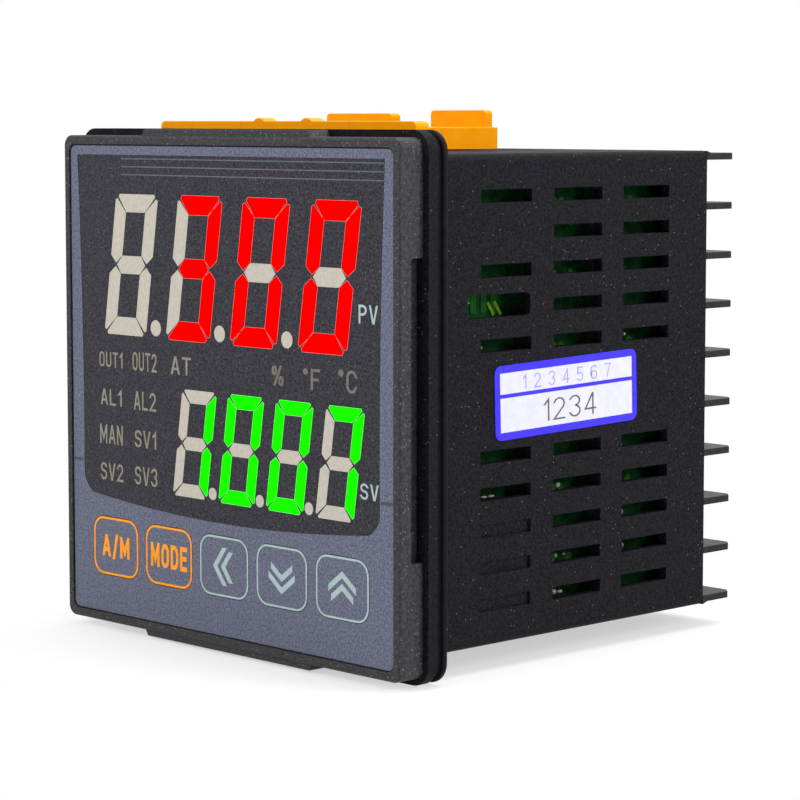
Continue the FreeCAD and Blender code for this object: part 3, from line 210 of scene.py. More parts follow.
# The middle lines of the plain capitals and numerals on the front, in a cell one high and 0.56 wide.
ROUND = bow(0.28, 0.75, 0, 180) + bow(0.28, 0.25, 180, 360)
GLYPHS: dict[str, list[Path]] = {
    "A": [[(0.0, 0.0), (0.25, 1.0)], [(0.56, 0.0), (0.31, 1.0)], [(0.14, 0.28), (0.42, 0.28)]],
    "C": [bow(0.28, 0.75, 10, 180) + bow(0.28, 0.25, 180, 350)],
    "D": [[(0.0, 0.0), (0.0, 1.0)] + bow(0.26, 0.72, 90, 0, 0.3, 0.28) + bow(0.26, 0.28, 0, -90, 0.3, 0.28)
          + [(0.0, 0.0)]],
    "E": [[(0.5, 1.0), (0.0, 1.0), (0.0, 0.0), (0.5, 0.0)], [(0.0, 0.52), (0.44, 0.52)]],
    "F": [[(0.5, 1.0), (0.0, 1.0), (0.0, 0.0)], [(0.0, 0.5), (0.42, 0.5)]],
    "L": [[(0.0, 1.0), (0.0, 0.0), (0.48, 0.0)]],
    "M": [[(0.0, 0.0), (0.0, 1.0)], [(0.68, 0.0), (0.68, 1.0)], [(0.02, 1.0), (0.34, 0.26), (0.66, 1.0)]],
    "N": [[(0.0, 0.0), (0.0, 1.0)], [(0.52, 0.0), (0.52, 1.0)], [(0.02, 1.0), (0.5, 0.0)]],
    "O": [ROUND + ROUND[:1]],
    "P": [[(0.0, 0.0), (0.0, 1.0)], [(0.0, 1.0)] + bow(0.26, 0.74, 90, -90, 0.28, 0.26) + [(0.0, 0.48)]],
    "S": [bow(0.28, 0.76, 20, 250, 0.27, 0.24) + bow(0.28, 0.26, 70, -160, 0.28, 0.26)],
    "T": [[(0.0, 1.0), (0.56, 1.0)], [(0.28, 1.0), (0.28, 0.0)]],
    "U": [[(0.0, 1.0)] + bow(0.28, 0.25, 180, 360) + [(0.56, 1.0)]],
    "V": [[(0.0, 1.0), (0.25, 0.0)], [(0.56, 1.0), (0.31, 0.0)]],
    "1": [[(0.06, 0.78), (0.26, 1.0), (0.26, 0.0)]],
    "2": [bow(0.28, 0.73, 165, -35, 0.27, 0.27) + [(0.0, 0.0), (0.56, 0.0)]],
    "3": [bow(0.27, 0.76, 160, -80, 0.26, 0.24) + bow(0.27, 0.26, 80, -160, 0.28, 0.26)],
    "4": [[(0.42, 0.0), (0.42, 1.0)], [(0.4, 1.0), (0.0, 0.26), (0.56, 0.26)]],
    "5": [[(0.5, 1.0), (0.08, 1.0), (0.04, 0.54)] + bow(0.26, 0.3, 110, -150, 0.28, 0.3)],
    "6": [bow(0.28, 0.7, 40, 180, 0.28, 0.3) + bow(0.28, 0.3, 180, 540, 0.28, 0.3)],
    "7": [[(0.0, 1.0), (0.54, 1.0), (0.18, 0.0)]],
    "/": [[(0.0, -0.12), (0.3, 1.08)]],
    "%": [bow(0.14, 0.78, 0, 360, 0.13, 0.2), bow(0.62, 0.22, 0, 360, 0.13, 0.2), [(0.16, 0.0), (0.6, 1.0)]],
    "\u00b0": [bow(0.1, 0.9, 0, 360, 0.1, 0.1)],
}


def stroke(path: Path, weight: float) -> Mesh:
    """Flat band of even width along a path, with mitred corners and level or upright ends.

    Args:
        path: The middle line, in X and Z. It is closed where its last point is its first.
        weight: Width of the band.

    Returns:
        Flat faces that look forward.
    """
    points = [Vector(point) for point in path]
    ways = [(end - start).normalized() for start, end in zip(points, points[1:])]
    closed = (points[0] - points[-1]).length < SAME_SPOT
    band = bmesh.new()
    rows = []
    for index, point in enumerate(points):
        near = [ways[index - 1]] if index or closed else []
        near += [ways[index % len(ways)]] if index < len(ways) or closed else []
        left = Vector((-near[0].y, near[0].x))
        if len(near) == 2:
            side = (left + Vector((-near[1].y, near[1].x))).normalized()
        else:
            steep = abs(near[0].y) > abs(near[0].x)
            side = Vector((1, 0)) if steep else Vector((0, 1))
            side *= math.copysign(1.0, side.dot(left))
            beyond = weight / 2 / (abs(near[0].y) if steep else abs(near[0].x))
            point = point + near[0] * (beyond if index else -beyond)
        reach = side * (weight / 2 / max(SHORTEST_MITRE, side.dot(left)))
        rows.append([band.verts.new((spot.x, 0, spot.y)) for spot in (point + reach, point - reach)])
    for (first_left, first_right), (next_left, next_right) in zip(rows, rows[1:]):
        band.faces.new((first_left, first_right, next_right, next_left))
    bmesh.ops.remove_doubles(band, verts=band.verts, dist=SAME_SPOT / 10)
    return band


def lettering(text: str, weight: float = 0.13, gap: float = 0.2) -> Mesh:
    """Flat letters that look forward, drawn as bands along their middle lines.

    Args:
        text: What they say.
        weight: Width of the bands, in shares of the letters' height.
        gap: Space between letters, in the same shares.

    Returns:
        A mesh whose bounding box has its middle at the origin.
    """
    left = 0.0
    bands = []
    for letter in text:
        paths = GLYPHS[letter]
        for level, path in enumerate(paths):
            band = stroke([(left + across, up) for across, up in path], weight)
            bands.append(moved(band, (0, -level * PRINT_LEVEL, 0)))
        left += max(across for path in paths for across, up in path) + gap + weight
    letters = merged(bands)
    across, up = ([vertex.co[axis] for vertex in letters.verts] for axis in (0, 2))
    return moved(letters, (-(min(across) + max(across)) / 2, 0, -(min(up) + max(up)) / 2))


def fitted(sheet: Mesh, width: float, height: float) -> Mesh:
    """Stretches a centred flat mesh to a width and a height.

    Args:
        sheet: The mesh, with its middle at the origin.
        width: Wanted size along X.
        height: Wanted size along Z.

    Returns:
        The same mesh.
    """
    half_width = max(v.co.x for v in sheet.verts)
    half_height = max(v.co.z for v in sheet.verts)
    bmesh.ops.scale(sheet, verts=sheet.verts, vec=(width / 2 / half_width, 1.0, height / 2 / half_height))
    return sheet


def merged(pieces: list[Mesh]) -> Mesh:
    """Puts several meshes into one and frees them.

    Args:
        pieces: The meshes.

    Returns:
        One mesh with all their faces.
    """
    whole = bmesh.new()
    for piece in pieces:
        carrier = bpy.data.meshes.new("carrier")
        piece.to_mesh(carrier)
        piece.free()
        whole.from_mesh(carrier)
        bpy.data.meshes.remove(carrier)
    return whole


# ---------------------------------------------------------------- shader groups
def new_group(name: str, inputs: dict[str, str], outputs: dict[str, str]) -> Tree:
    """Makes an empty shader node group.

    Args:
        name: The group's name.
        inputs: The kind of each input, by name.
        outputs: The kind of each output, by name.

    Returns:
        The group, holding its input and output nodes.
    """
    tree = bpy.data.node_groups.new(name, "ShaderNodeTree")
    for way, sockets in (("INPUT", inputs), ("OUTPUT", outputs)):
        for socket, kind in sockets.items():
            tree.interface.new_socket(socket, in_out=way, socket_type=kind)
    tree.nodes.new("NodeGroupInput")
    tree.nodes.new("NodeGroupOutput")
    return tree


def add_node(tree: Tree, kind: str, settings: dict | None = None,
             values: dict | None = None) -> bpy.types.Node:
    """Adds a shader node.

    Args:
        tree: The tree that it goes into.
        kind: The node's type name.
        settings: Attributes to set on it.
        values: Default values of its inputs, by name or index.

    Returns:
        The node.
    """
    node = tree.nodes.new(kind)
    for key, value in (settings or {}).items():
        setattr(node, key, value)
    for key, value in (values or {}).items():
        node.inputs[key].default_value = value
    return node


def empty_tree(owner: bpy.types.Material | bpy.types.World) -> Tree:
    """Clears the nodes of a material or a world.

    Args:
        owner: What the nodes belong to.

    Returns:
        Its node tree, empty.
    """
    owner.use_nodes = True
    owner.node_tree.nodes.clear()
    return owner.node_tree


def linked(name: str, data: bpy.types.ID) -> bpy.types.Object:
    """Puts data into the scene as an object at the origin.

    Args:
        name: The object's name.
        data: A mesh, a lamp or a camera.

    Returns:
        The object.
    """
    piece = bpy.data.objects.new(name, data)
    bpy.context.scene.collection.objects.link(piece)
    return piece


def stored(name: str, mesh: Mesh) -> bpy.types.Mesh:
    """Turns a working mesh into mesh data.

    Args:
        name: The data's name.
        mesh: The working mesh, freed here.

    Returns:
        The data.
    """
    data = bpy.data.meshes.new(name)
    mesh.to_mesh(data)
    mesh.free()
    return data


def wire(tree: Tree, links: list[Link]) -> None:
    """Joins outputs to inputs, each given by its node and by its name or index."""
    for giver, output, taker, entry in links:
        tree.links.new(giver.outputs[output], taker.inputs[entry])


FLOAT = "NodeSocketFloat"
COLOUR = "NodeSocketColor"
VECTOR = "NodeSocketVector"
# Speck size in cells, the part of the noise that drives tone and gloss, and the glossiest surface.
SPECK_RADIUS = 0.24
MOTTLE_SPAN = (0.4, 0.6)
GLOSS_SPAN = (0.3, 0.7)
LEAST_ROUGHNESS = 0.02


def spark_texture_group() -> Tree:
    """Texture of a spark-eroded mould: a fine random relief, and rare bright facets.

    Returns:
        The group, with the outputs Height, Speck and Mottle.
    """
    scales = ("Grain Scale", "Speck Scale", "Speck Share", "Mottle Scale")
    tree = new_group("spark_texture", {"Vector": VECTOR} | dict.fromkeys(scales, FLOAT),
                     dict.fromkeys(("Height", "Speck", "Mottle"), FLOAT))
    source = tree.nodes["Group Input"]
    result = tree.nodes["Group Output"]
    grain = add_node(tree, "ShaderNodeTexNoise", values={"Detail": 3.0, "Roughness": 0.62})
    cells = add_node(tree, "ShaderNodeTexVoronoi")
    chance = add_node(tree, "ShaderNodeTexWhiteNoise", {"noise_dimensions": "3D"})
    dot = add_node(tree, "ShaderNodeMath", {"operation": "LESS_THAN"}, {1: SPECK_RADIUS})
    rare = add_node(tree, "ShaderNodeMath", {"operation": "LESS_THAN"})
    speck = add_node(tree, "ShaderNodeMath", {"operation": "MULTIPLY"})
    mottle = add_node(tree, "ShaderNodeTexNoise", values={"Detail": 3.0, "Roughness": 0.7})
    wire(tree, [(source, "Vector", grain, "Vector"), (source, "Grain Scale", grain, "Scale"),
                (source, "Vector", cells, "Vector"), (source, "Speck Scale", cells, "Scale"),
                (source, "Vector", mottle, "Vector"), (source, "Mottle Scale", mottle, "Scale"),
                (cells, "Distance", dot, 0), (cells, "Position", chance, "Vector"),
                (chance, "Value", rare, 0), (source, "Speck Share", rare, 1), (dot, 0, speck, 0),
                (rare, 0, speck, 1), (grain, "Fac", result, "Height"), (speck, 0, result, "Speck"),
                (mottle, "Fac", result, "Mottle")])
    return tree


SPARK_TEXTURE = spark_texture_group()


def two_tone_group() -> Tree:
    """Colour that drifts between two tones, with specks of a third.

    Returns:
        The group, with the output Color.
    """
    tree = new_group("two_tone", dict.fromkeys(("Mottle", "Speck"), FLOAT)
                     | dict.fromkeys(("Low", "High", "Speck Color"), COLOUR), {"Color": COLOUR})
    source = tree.nodes["Group Input"]
    result = tree.nodes["Group Output"]
    spread = add_node(tree, "ShaderNodeMapRange", values={
        "From Min": MOTTLE_SPAN[0], "From Max": MOTTLE_SPAN[1]})
    blend = add_node(tree, "ShaderNodeMix", {"data_type": "RGBA"})
    dotted = add_node(tree, "ShaderNodeMix", {"data_type": "RGBA"})
    wire(tree, [(source, "Mottle", spread, "Value"), (spread, "Result", blend, "Factor"),
                (source, "Low", blend, "A"), (source, "High", blend, "B"),
                (source, "Speck", dotted, "Factor"), (blend, "Result", dotted, "A"),
                (source, "Speck Color", dotted, "B"), (dotted, "Result", result, "Color")])
    return tree


TWO_TONE = two_tone_group()


# ---------------------------------------------------------------- finishes
@dataclass(frozen=True)
class Finish:
    """A surface finish: tones, gloss and the scale of its texture.

    Lengths are in metres and scales in cells per metre.
    """

    name: str
    low: Triple
    high: Triple
    roughness: float = 0.5
    metallic: float = 0.0
    specular: float = 0.5
    specular_tint: Triple = (1.0, 1.0, 1.0)
    grain_scale: float = 2600.0
    grain_depth: float = 0.00002
    bump: float = 0.3
    speck_scale: float = 1500.0
    speck_share: float = 0.0
    speck: Triple = (0.5, 0.5, 0.5)
    mottle_scale: float = 900.0
    glow: Triple | None = None
    gloss_drift: float = 0.06

    def material(self) -> bpy.types.Material:
        """Builds the node material.

        Returns:
            A material whose colour, roughness and relief follow the finish.
        """
        made = bpy.data.materials.new(self.name)
        tree = empty_tree(made)
        out = add_node(tree, "ShaderNodeOutputMaterial")
        surface = add_node(tree, "ShaderNodeBsdfPrincipled", values={
            "Metallic": self.metallic, "Specular IOR Level": self.specular,
            "Specular Tint": (*self.specular_tint, 1.0)})
        place = add_node(tree, "ShaderNodeTexCoord")
        texture = add_node(tree, "ShaderNodeGroup", {"node_tree": SPARK_TEXTURE}, {
            "Grain Scale": self.grain_scale, "Speck Scale": self.speck_scale,
            "Speck Share": self.speck_share, "Mottle Scale": self.mottle_scale})
        tone = add_node(tree, "ShaderNodeGroup", {"node_tree": TWO_TONE}, {
            "Low": (*self.low, 1.0), "High": (*self.high, 1.0), "Speck Color": (*self.speck, 1.0)})
        relief = add_node(tree, "ShaderNodeBump", values={
            "Strength": self.bump, "Distance": self.grain_depth})
        gloss = add_node(tree, "ShaderNodeMapRange", values={
            "From Min": GLOSS_SPAN[0], "From Max": GLOSS_SPAN[1],
            "To Min": max(self.roughness - self.gloss_drift, LEAST_ROUGHNESS),
            "To Max": min(self.roughness + self.gloss_drift, 1.0)})
        wire(tree, [(place, "Object", texture, "Vector"), (texture, "Mottle", tone, "Mottle"),
                    (texture, "Speck", tone, "Speck"), (texture, "Height", relief, "Height"),
                    (texture, "Mottle", gloss, "Value"), (tone, "Color", surface, "Base Color"),
                    (gloss, "Result", surface, "Roughness"), (relief, "Normal", surface, "Normal"),
                    (surface, "BSDF", out, "Surface")])
        if self.glow is not None:
            surface.inputs["Emission Color"].default_value = (*self.glow, 1.0)
            surface.inputs["Emission Strength"].default_value = 1.0
        return made


def metal_finish(name: str, low: Triple, high: Triple, roughness: float = 0.3, bump: float = 0.3) -> Finish:
    """A bare metal."""
    return Finish(name, low, high, roughness=roughness, bump=bump, metallic=1.0)


def film_finish(name: str, low: Triple, high: Triple, speck_share: float, speck: Triple) -> Finish:
    """A printed film or window with a fine grain."""
    return Finish(name, low, high, specular=0.2, grain_depth=0.00001, bump=0.25, grain_scale=4200.0,
                  speck_scale=2800.0, speck_share=speck_share, speck=speck, mottle_scale=3000.0)


def ink_finish(name: str, low: Triple, high: Triple, specular: float = 0.2, **more: object) -> Finish:
    """An even, nearly smooth surface, such as a print."""
    return Finish(name, low, high, specular=specular, bump=0.05, **more)


class Skin(Enum):
    """Every finish on the controller."""

    FRAME = Finish(
        "frame_plastic", (0.011, 0.011, 0.0135), (0.038, 0.038, 0.044), 0.6, specular=0.25,
        grain_depth=0.00006, bump=0.8, grain_scale=3200.0, speck_scale=2600.0, speck_share=0.2,
        speck=(0.15, 0.155, 0.155), mottle_scale=2400.0)
    CASE = Finish(
        "case_plastic", (0.003, 0.003, 0.0045), (0.014, 0.0135, 0.018), 0.55, specular=0.05,
        grain_depth=0.00004, bump=0.4, speck_scale=3000.0, speck_share=0.03, speck=(0.15, 0.15, 0.14),
        mottle_scale=3000.0)
    TERMINAL = Finish("terminal_plastic", (0.006, 0.006, 0.007), (0.012, 0.012, 0.013), 0.42, specular=0.2,
                      speck_share=0.004, speck=(0.1, 0.1, 0.1))
    GASKET = Finish("gasket_rubber", (0.003, 0.003, 0.004), (0.006, 0.006, 0.007), specular=0.08, bump=0.1)
    FILM = film_finish("overlay_film", (0.062, 0.069, 0.11), (0.132, 0.141, 0.196), 0.06, (0.24, 0.25, 0.3))
    WINDOW = film_finish("window_dark", (0.003, 0.003, 0.006), (0.034, 0.033, 0.044), 0.12,
                         (0.11, 0.115, 0.13))
    UNLIT = ink_finish("segment_dark", (0.4, 0.37, 0.315), (0.45, 0.42, 0.36), mottle_scale=1600.0)
    RED = Finish("lit_red", (0.25, 0.0, 0.0), (0.3, 0.0, 0.0), specular=0.0, bump=0.0, glow=(1.0, 0.0, 0.0))
    GREEN = Finish("lit_green", (0.0, 0.25, 0.0), (0.0, 0.3, 0.0), specular=0.0, bump=0.0,
                   glow=(0.0103, 1.0, 0.0))
    SEGMENT_EDGE = Finish("segment_edge", (0.14, 0.15, 0.14), (0.19, 0.2, 0.18), specular=0.1, bump=0.0)
    ORANGE = ink_finish("bracket_plastic", (0.98, 0.34, 0.0), (1.0, 0.37, 0.0), 0.25, roughness=0.32,
                        specular_tint=(1.0, 0.5, 0.0), mottle_scale=300.0)
    BOARD = Finish("board_green", (0.0008, 0.02, 0.004), (0.004, 0.065, 0.012), specular=0.06, bump=0.2,
                   mottle_scale=420.0)
    TRACK = Finish("board_track", (0.02, 0.12, 0.012), (0.04, 0.18, 0.02), specular=0.08, bump=0.1)
    SOLDER = metal_finish("solder", (0.85, 0.86, 0.86), (0.95, 0.95, 0.95), 0.16, 0.1)
    # White and not metal: solder blobs whose colour is a painted glint, where the solder catches the light.
    SOLDER_GLINT = Finish("solder_painted_glint", (0.85, 0.86, 0.84), (0.95, 0.95, 0.93), roughness=0.25, bump=0.05)
    BRASS = metal_finish("contact_brass", (0.55, 0.38, 0.16), (0.66, 0.47, 0.22))
    GOLD = Finish("gold_pad", (0.004, 0.07, 0.005), (0.01, 0.12, 0.01), roughness=0.4, specular=0.08)
    STRIPE = Finish("track_stripe", (0.12, 0.26, 0.008), (0.17, 0.34, 0.012), specular=0.1)
    STEEL = metal_finish("screw_steel", (0.5, 0.5, 0.5), (0.62, 0.62, 0.62))
    ZINC = metal_finish("clamp_steel", (0.45, 0.46, 0.48), (0.6, 0.6, 0.62), 0.38)
    SPRING = metal_finish("dome_steel", (0.5, 0.5, 0.5), (0.6, 0.6, 0.6), 0.25)
    REFLECTOR = Finish("reflector_plastic", (0.6, 0.6, 0.58), (0.7, 0.7, 0.68))
    CHIP = Finish("led_chip", (0.75, 0.75, 0.7), (0.85, 0.85, 0.8), roughness=0.2)
    SWITCH = Finish("switch_plastic", (0.02, 0.02, 0.02), (0.035, 0.035, 0.035))
    HEADER = Finish("header_plastic", (0.015, 0.015, 0.015), (0.025, 0.025, 0.025))
    RELAY = Finish("relay_plastic", (0.015, 0.06, 0.18), (0.025, 0.08, 0.22), roughness=0.35)
    FERRITE = Finish("ferrite", (0.03, 0.027, 0.025), (0.05, 0.045, 0.04), roughness=0.6)
    CAPACITOR = Finish("capacitor_can", (0.03, 0.035, 0.06), (0.05, 0.06, 0.09), roughness=0.3)
    CAN_END = metal_finish("capacitor_end", (0.6, 0.6, 0.6), (0.7, 0.7, 0.7))
    PROCESSOR = Finish("chip_plastic", (0.01, 0.01, 0.01), (0.02, 0.02, 0.02))
    LABEL_BLUE = ink_finish("label_blue", (0.03, 0.016, 0.82), (0.036, 0.02, 0.88), 0.25, roughness=0.4)
    LABEL_WHITE = ink_finish("label_white", (0.57, 0.575, 0.64), (0.61, 0.615, 0.68), 0.25, roughness=0.4)
    LABEL_PALE_INK = ink_finish("label_pale_ink", (0.25, 0.25, 0.8), (0.3, 0.3, 0.85), 0.5)
    LABEL_INK = ink_finish("label_ink", (0.05, 0.05, 0.045), (0.09, 0.09, 0.08), 0.5)
    PRINT_ORANGE = ink_finish("print_orange", (0.8, 0.27, 0.012), (0.9, 0.31, 0.018), 0.1,
                              specular_tint=(1.0, 0.5, 0.0))
    PRINT_PALE = ink_finish("print_pale", (0.3, 0.385, 0.395), (0.34, 0.43, 0.44))
    PRINT_DIM = ink_finish("print_dim", (0.19, 0.172, 0.13), (0.24, 0.217, 0.165))
    PRINT_FAINT = ink_finish("print_faint", (0.12, 0.108, 0.088), (0.155, 0.14, 0.112))
    PRINT_LINE = ink_finish("print_line", (0.075, 0.082, 0.12), (0.1, 0.108, 0.15), mottle_scale=1600.0)
    PRINT_DARK = ink_finish("print_dark", (0.04, 0.042, 0.055), (0.05, 0.052, 0.066))
    # Near-black: the dark borders round the display segments, and the painted gap shadow round the film's
    # edge.
    DARK_BORDER_AND_GAP_SHADE = ink_finish("dark_border_and_gap_shade", (0.006, 0.006, 0.007), (0.01, 0.01, 0.011), 0.1)


@cache
def material_of(skin: Skin) -> bpy.types.Material:
    """The material of a finish, built at its first use."""
    return skin.value.material()


# ---------------------------------------------------------------- construction nodes
def finished(name: str, mesh: Mesh, skin: Skin, body: str = CONTROLLER,
             smooth: bool = False) -> bpy.types.Object:
    """Puts a mesh into the scene as a piece that rides on a body.

    Args:
        name: The piece's name.
        mesh: The geometry, freed here.
        skin: Its finish.
        body: The body that it moves with.
        smooth: Whether its faces are shaded smooth where they meet at a low angle.

    Returns:
        The new object, at the origin.
    """
    data = stored(name, mesh)
    data.materials.append(material_of(skin))
    if smooth:
        data.polygons.foreach_set("use_smooth", [True] * len(data.polygons))
        data.set_sharp_from_angle(angle=SMOOTH_BELOW)
    piece = linked(name, data)
    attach(piece, body)
    log.info("%s: %d faces", name, len(data.polygons))
    return piece


@dataclass
class Dressing:
    """How a construction node is shown: its finish and how much its edges are eased."""

    node: str
    skin: Skin
    edge: float = 0.0
    segments: int = 2

    def body(self) -> str:
        """The body that carries the node."""
        bodies = frame["record"]["behaviour"]["bodies"]
        return next(name for name, nodes in bodies.items() if self.node in nodes)

    def show(self) -> bpy.types.Object:
        """Gives the node its finish, on an eased copy where its edges call for one.

        Returns:
            The object that shows.
        """
        source = frame["nodes"][self.node]
        if self.edge == 0.0:
            if not source.material_slots:
                source.data.materials.append(None)
            for place in source.material_slots:
                place.material = material_of(self.skin)
            return source
        shell = bmesh.new()
        shell.from_mesh(source.data)
        bmesh.ops.remove_doubles(shell, verts=shell.verts, dist=WELD)
        bmesh.ops.dissolve_limit(shell, angle_limit=FLAT_WITHIN, verts=shell.verts, edges=shell.edges)
        piece = finished(f"{self.node}_eased", shell, self.skin, self.body())
        piece.data.polygons.foreach_set("use_smooth", [True] * len(piece.data.polygons))
        ease = piece.modifiers.new("ease", "BEVEL")
        ease.limit_method = "ANGLE"
        ease.angle_limit = EDGE_ABOVE
        ease.width = self.edge
        ease.segments = self.segments
        ease.profile = 0.5
        ease.use_clamp_overlap = True
        flat = piece.modifiers.new("flat_walls", "WEIGHTED_NORMAL")
        flat.weight = WALL_WEIGHT
        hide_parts(self.node)
        return piece


KEYS = ("key_auto_manual", "key_mode", "key_shift", "key_down", "key_up")

DRESSINGS = [
    Dressing("front_frame", Skin.FRAME, 0.00018, 3), Dressing("front_overlay", Skin.FILM),
    Dressing("display_window", Skin.WINDOW), Dressing("display_reflector", Skin.REFLECTOR),
    Dressing("display_leds", Skin.CHIP), Dressing("tact_switches", Skin.SWITCH),
    Dressing("switch_domes", Skin.SPRING), Dressing("display_board", Skin.BOARD),
    Dressing("case", Skin.CASE, 0.00012), Dressing("panel_gasket", Skin.GASKET, 0.0003, 3),
    Dressing("side_board_right", Skin.BOARD), Dressing("side_board_left", Skin.BOARD),
    Dressing("board_headers", Skin.HEADER), Dressing("relays", Skin.RELAY, 0.0003),
    Dressing("power_transformer", Skin.FERRITE), Dressing("microcontroller", Skin.PROCESSOR),
    Dressing("loader_pads", Skin.GOLD), Dressing("terminal_block", Skin.TERMINAL, 0.00012),
    Dressing("terminal_contacts", Skin.BRASS), Dressing("terminal_clamps", Skin.ZINC, 0.00012),
    Dressing("mounting_bracket", Skin.ORANGE, 0.0002, 3), Dressing("inspection_label", Skin.LABEL_BLUE),
    Dressing("pv_segments_lit", Skin.RED), Dressing("pv_segments_dark", Skin.UNLIT),
    Dressing("pv_points", Skin.UNLIT), Dressing("sv_segments_lit", Skin.GREEN),
    Dressing("sv_segments_dark", Skin.UNLIT), Dressing("sv_points", Skin.UNLIT),
    *(Dressing(key, Skin.FILM) for key in KEYS),
]


# ---------------------------------------------------------------- front
# The ink's thickness above a surface and how far it starts below, in millimetres.
INK = 0.014
SINK = 0.004


@dataclass(frozen=True)
class Legend:
    """One word of the front's print and the rectangle that it fills. Millimetres from the front's middle."""

    text: str
    left: float
    right: float
    top: float
    bottom: float
    weight: float = 0.15


@dataclass
class FrontPrint:
    """Ink on the film and the window: legends, rules and the notch lines beside the window, and a painted
    shadow line round the film's edge, where it meets the rim.

    Lengths are in millimetres, measured from the middle of the front.
    """

    rules: tuple[float, float, float] = (32.65, 31.5, 30.35)
    rule_left: float = -22.6
    rule_right: float = 32.75
    rule_height: float = 0.17
    notch_z: float = -12.2
    notch_height: float = 0.42
    notch_inner: float = 32.2
    notch_outer: float = 34.62
    # Width of the painted shadow line round the film's edge, where it meets the rim.
    film_gap_shadow: float = 0.2
    film_radius: float = 1.2
    state_legends: tuple[Legend, ...] = (
        Legend("OUT1", -28.18, -22.7, 4.48, 2.0), Legend("OUT2", -20.33, -14.77, 4.64, 1.91),
        Legend("AT", -11.56, -7.05, 4.57, 1.97), Legend("AL1", -27.95, -22.94, -1.01, -3.62),
        Legend("AL2", -20.11, -15.01, -1.07, -3.78), Legend("MAN", -28.21, -22.72, -6.53, -9.35),
        Legend("SV1", -20.12, -15.02, -6.5, -9.3), Legend("SV2", -28.22, -22.73, -12.18, -14.8),
        Legend("SV3", -20.14, -14.8, -12.07, -14.8))
    unit_legends: tuple[Legend, ...] = (
        Legend("%", 10.31, 12.81, 4.75, 1.86),
        Legend("\u00b0F", 16.75, 20.21, 4.73, 1.81), Legend("\u00b0C", 23.84, 27.6, 5.03, 1.9))
    row_legends: tuple[Legend, ...] = (
        Legend("PV", 27.83, 31.54, 13.9, 11.4), Legend("SV", 27.96, 31.67, -9.9, -12.1))

    def middle_z(self) -> float:
        """Height of the front's middle."""
        low, high = node_box("front_overlay")
        return (low.z + high.z) / 2

    def face(self, node: str) -> float:
        """Depth of a node's front face, a little inside it."""
        return node_box(node)[0].y + SINK * MM

    def printed(self, name: str, sheets: list[Mesh], node: str, skin: Skin) -> None:
        """Lays flat shapes on a node's front face as ink.

        Args:
            name: The piece's name.
            sheets: Flat shapes, placed in X and Z from the front's middle.
            node: The node whose front face they lie on.
            skin: The ink.
        """
        print_body = raised(merged(sheets), (INK + SINK) * MM)
        finished(name, moved(print_body, (0, self.face(node), self.middle_z())), skin)

    def words(self, legends: tuple[Legend, ...]) -> list[Mesh]:
        """Draws legends, each at its place.

        Args:
            legends: The words and their rectangles.

        Returns:
            Flat letters, one mesh a word.
        """
        sheets = []
        for legend in legends:
            width, height = legend.right - legend.left, legend.top - legend.bottom
            word = fitted(lettering(legend.text, legend.weight), width * MM, height * MM)
            middle = ((legend.left + legend.right) / 2 * MM, 0, (legend.top + legend.bottom) / 2 * MM)
            sheets.append(moved(word, middle))
        return sheets

    def strip(self, left: float, right: float, height: float, thickness: float) -> Mesh:
        """Flat strip between two places across the front."""
        flat = rounded_face((right - left) * MM, thickness * MM)
        return moved(flat, ((right + left) / 2 * MM, 0, height * MM))

    def build(self) -> None:
        """Prints everything that doesn't travel with a key, and lays the painted shadow round the film's
        edge.
        """
        self.printed("state_legends", self.words(self.state_legends), "display_window", Skin.PRINT_DIM)
        self.printed("unit_legends", self.words(self.unit_legends), "display_window", Skin.PRINT_FAINT)
        self.printed("row_legends", self.words(self.row_legends), "display_window", Skin.PRINT_PALE)
        rules = [self.strip(self.rule_left, self.rule_right, height, self.rule_height)
                 for height in self.rules]
        self.printed("window_rules", rules, "display_window", Skin.PRINT_LINE)
        ends = ((-self.notch_outer, -self.notch_inner), (self.notch_inner, self.notch_outer))
        notches = [self.strip(left, right, self.notch_z, self.notch_height) for left, right in ends]
        self.printed("notch_lines", notches, "front_overlay", Skin.PRINT_DARK)
        low, high = node_box("front_overlay")
        film = rounded_face(high.x - low.x, high.z - low.z, self.film_radius * MM)
        # Near-black ring round the film: painted shadow of the gap between the film and the rim.
        self.printed("film_gap_shadow", [outlined(film, self.film_gap_shadow * MM)], "front_overlay", Skin.DARK_BORDER_AND_GAP_SHADE)


class Arrow(Enum):
    """Which way a double chevron points, in degrees turned from down."""

    DOWN = 0
    LEFT = 90
    UP = 180


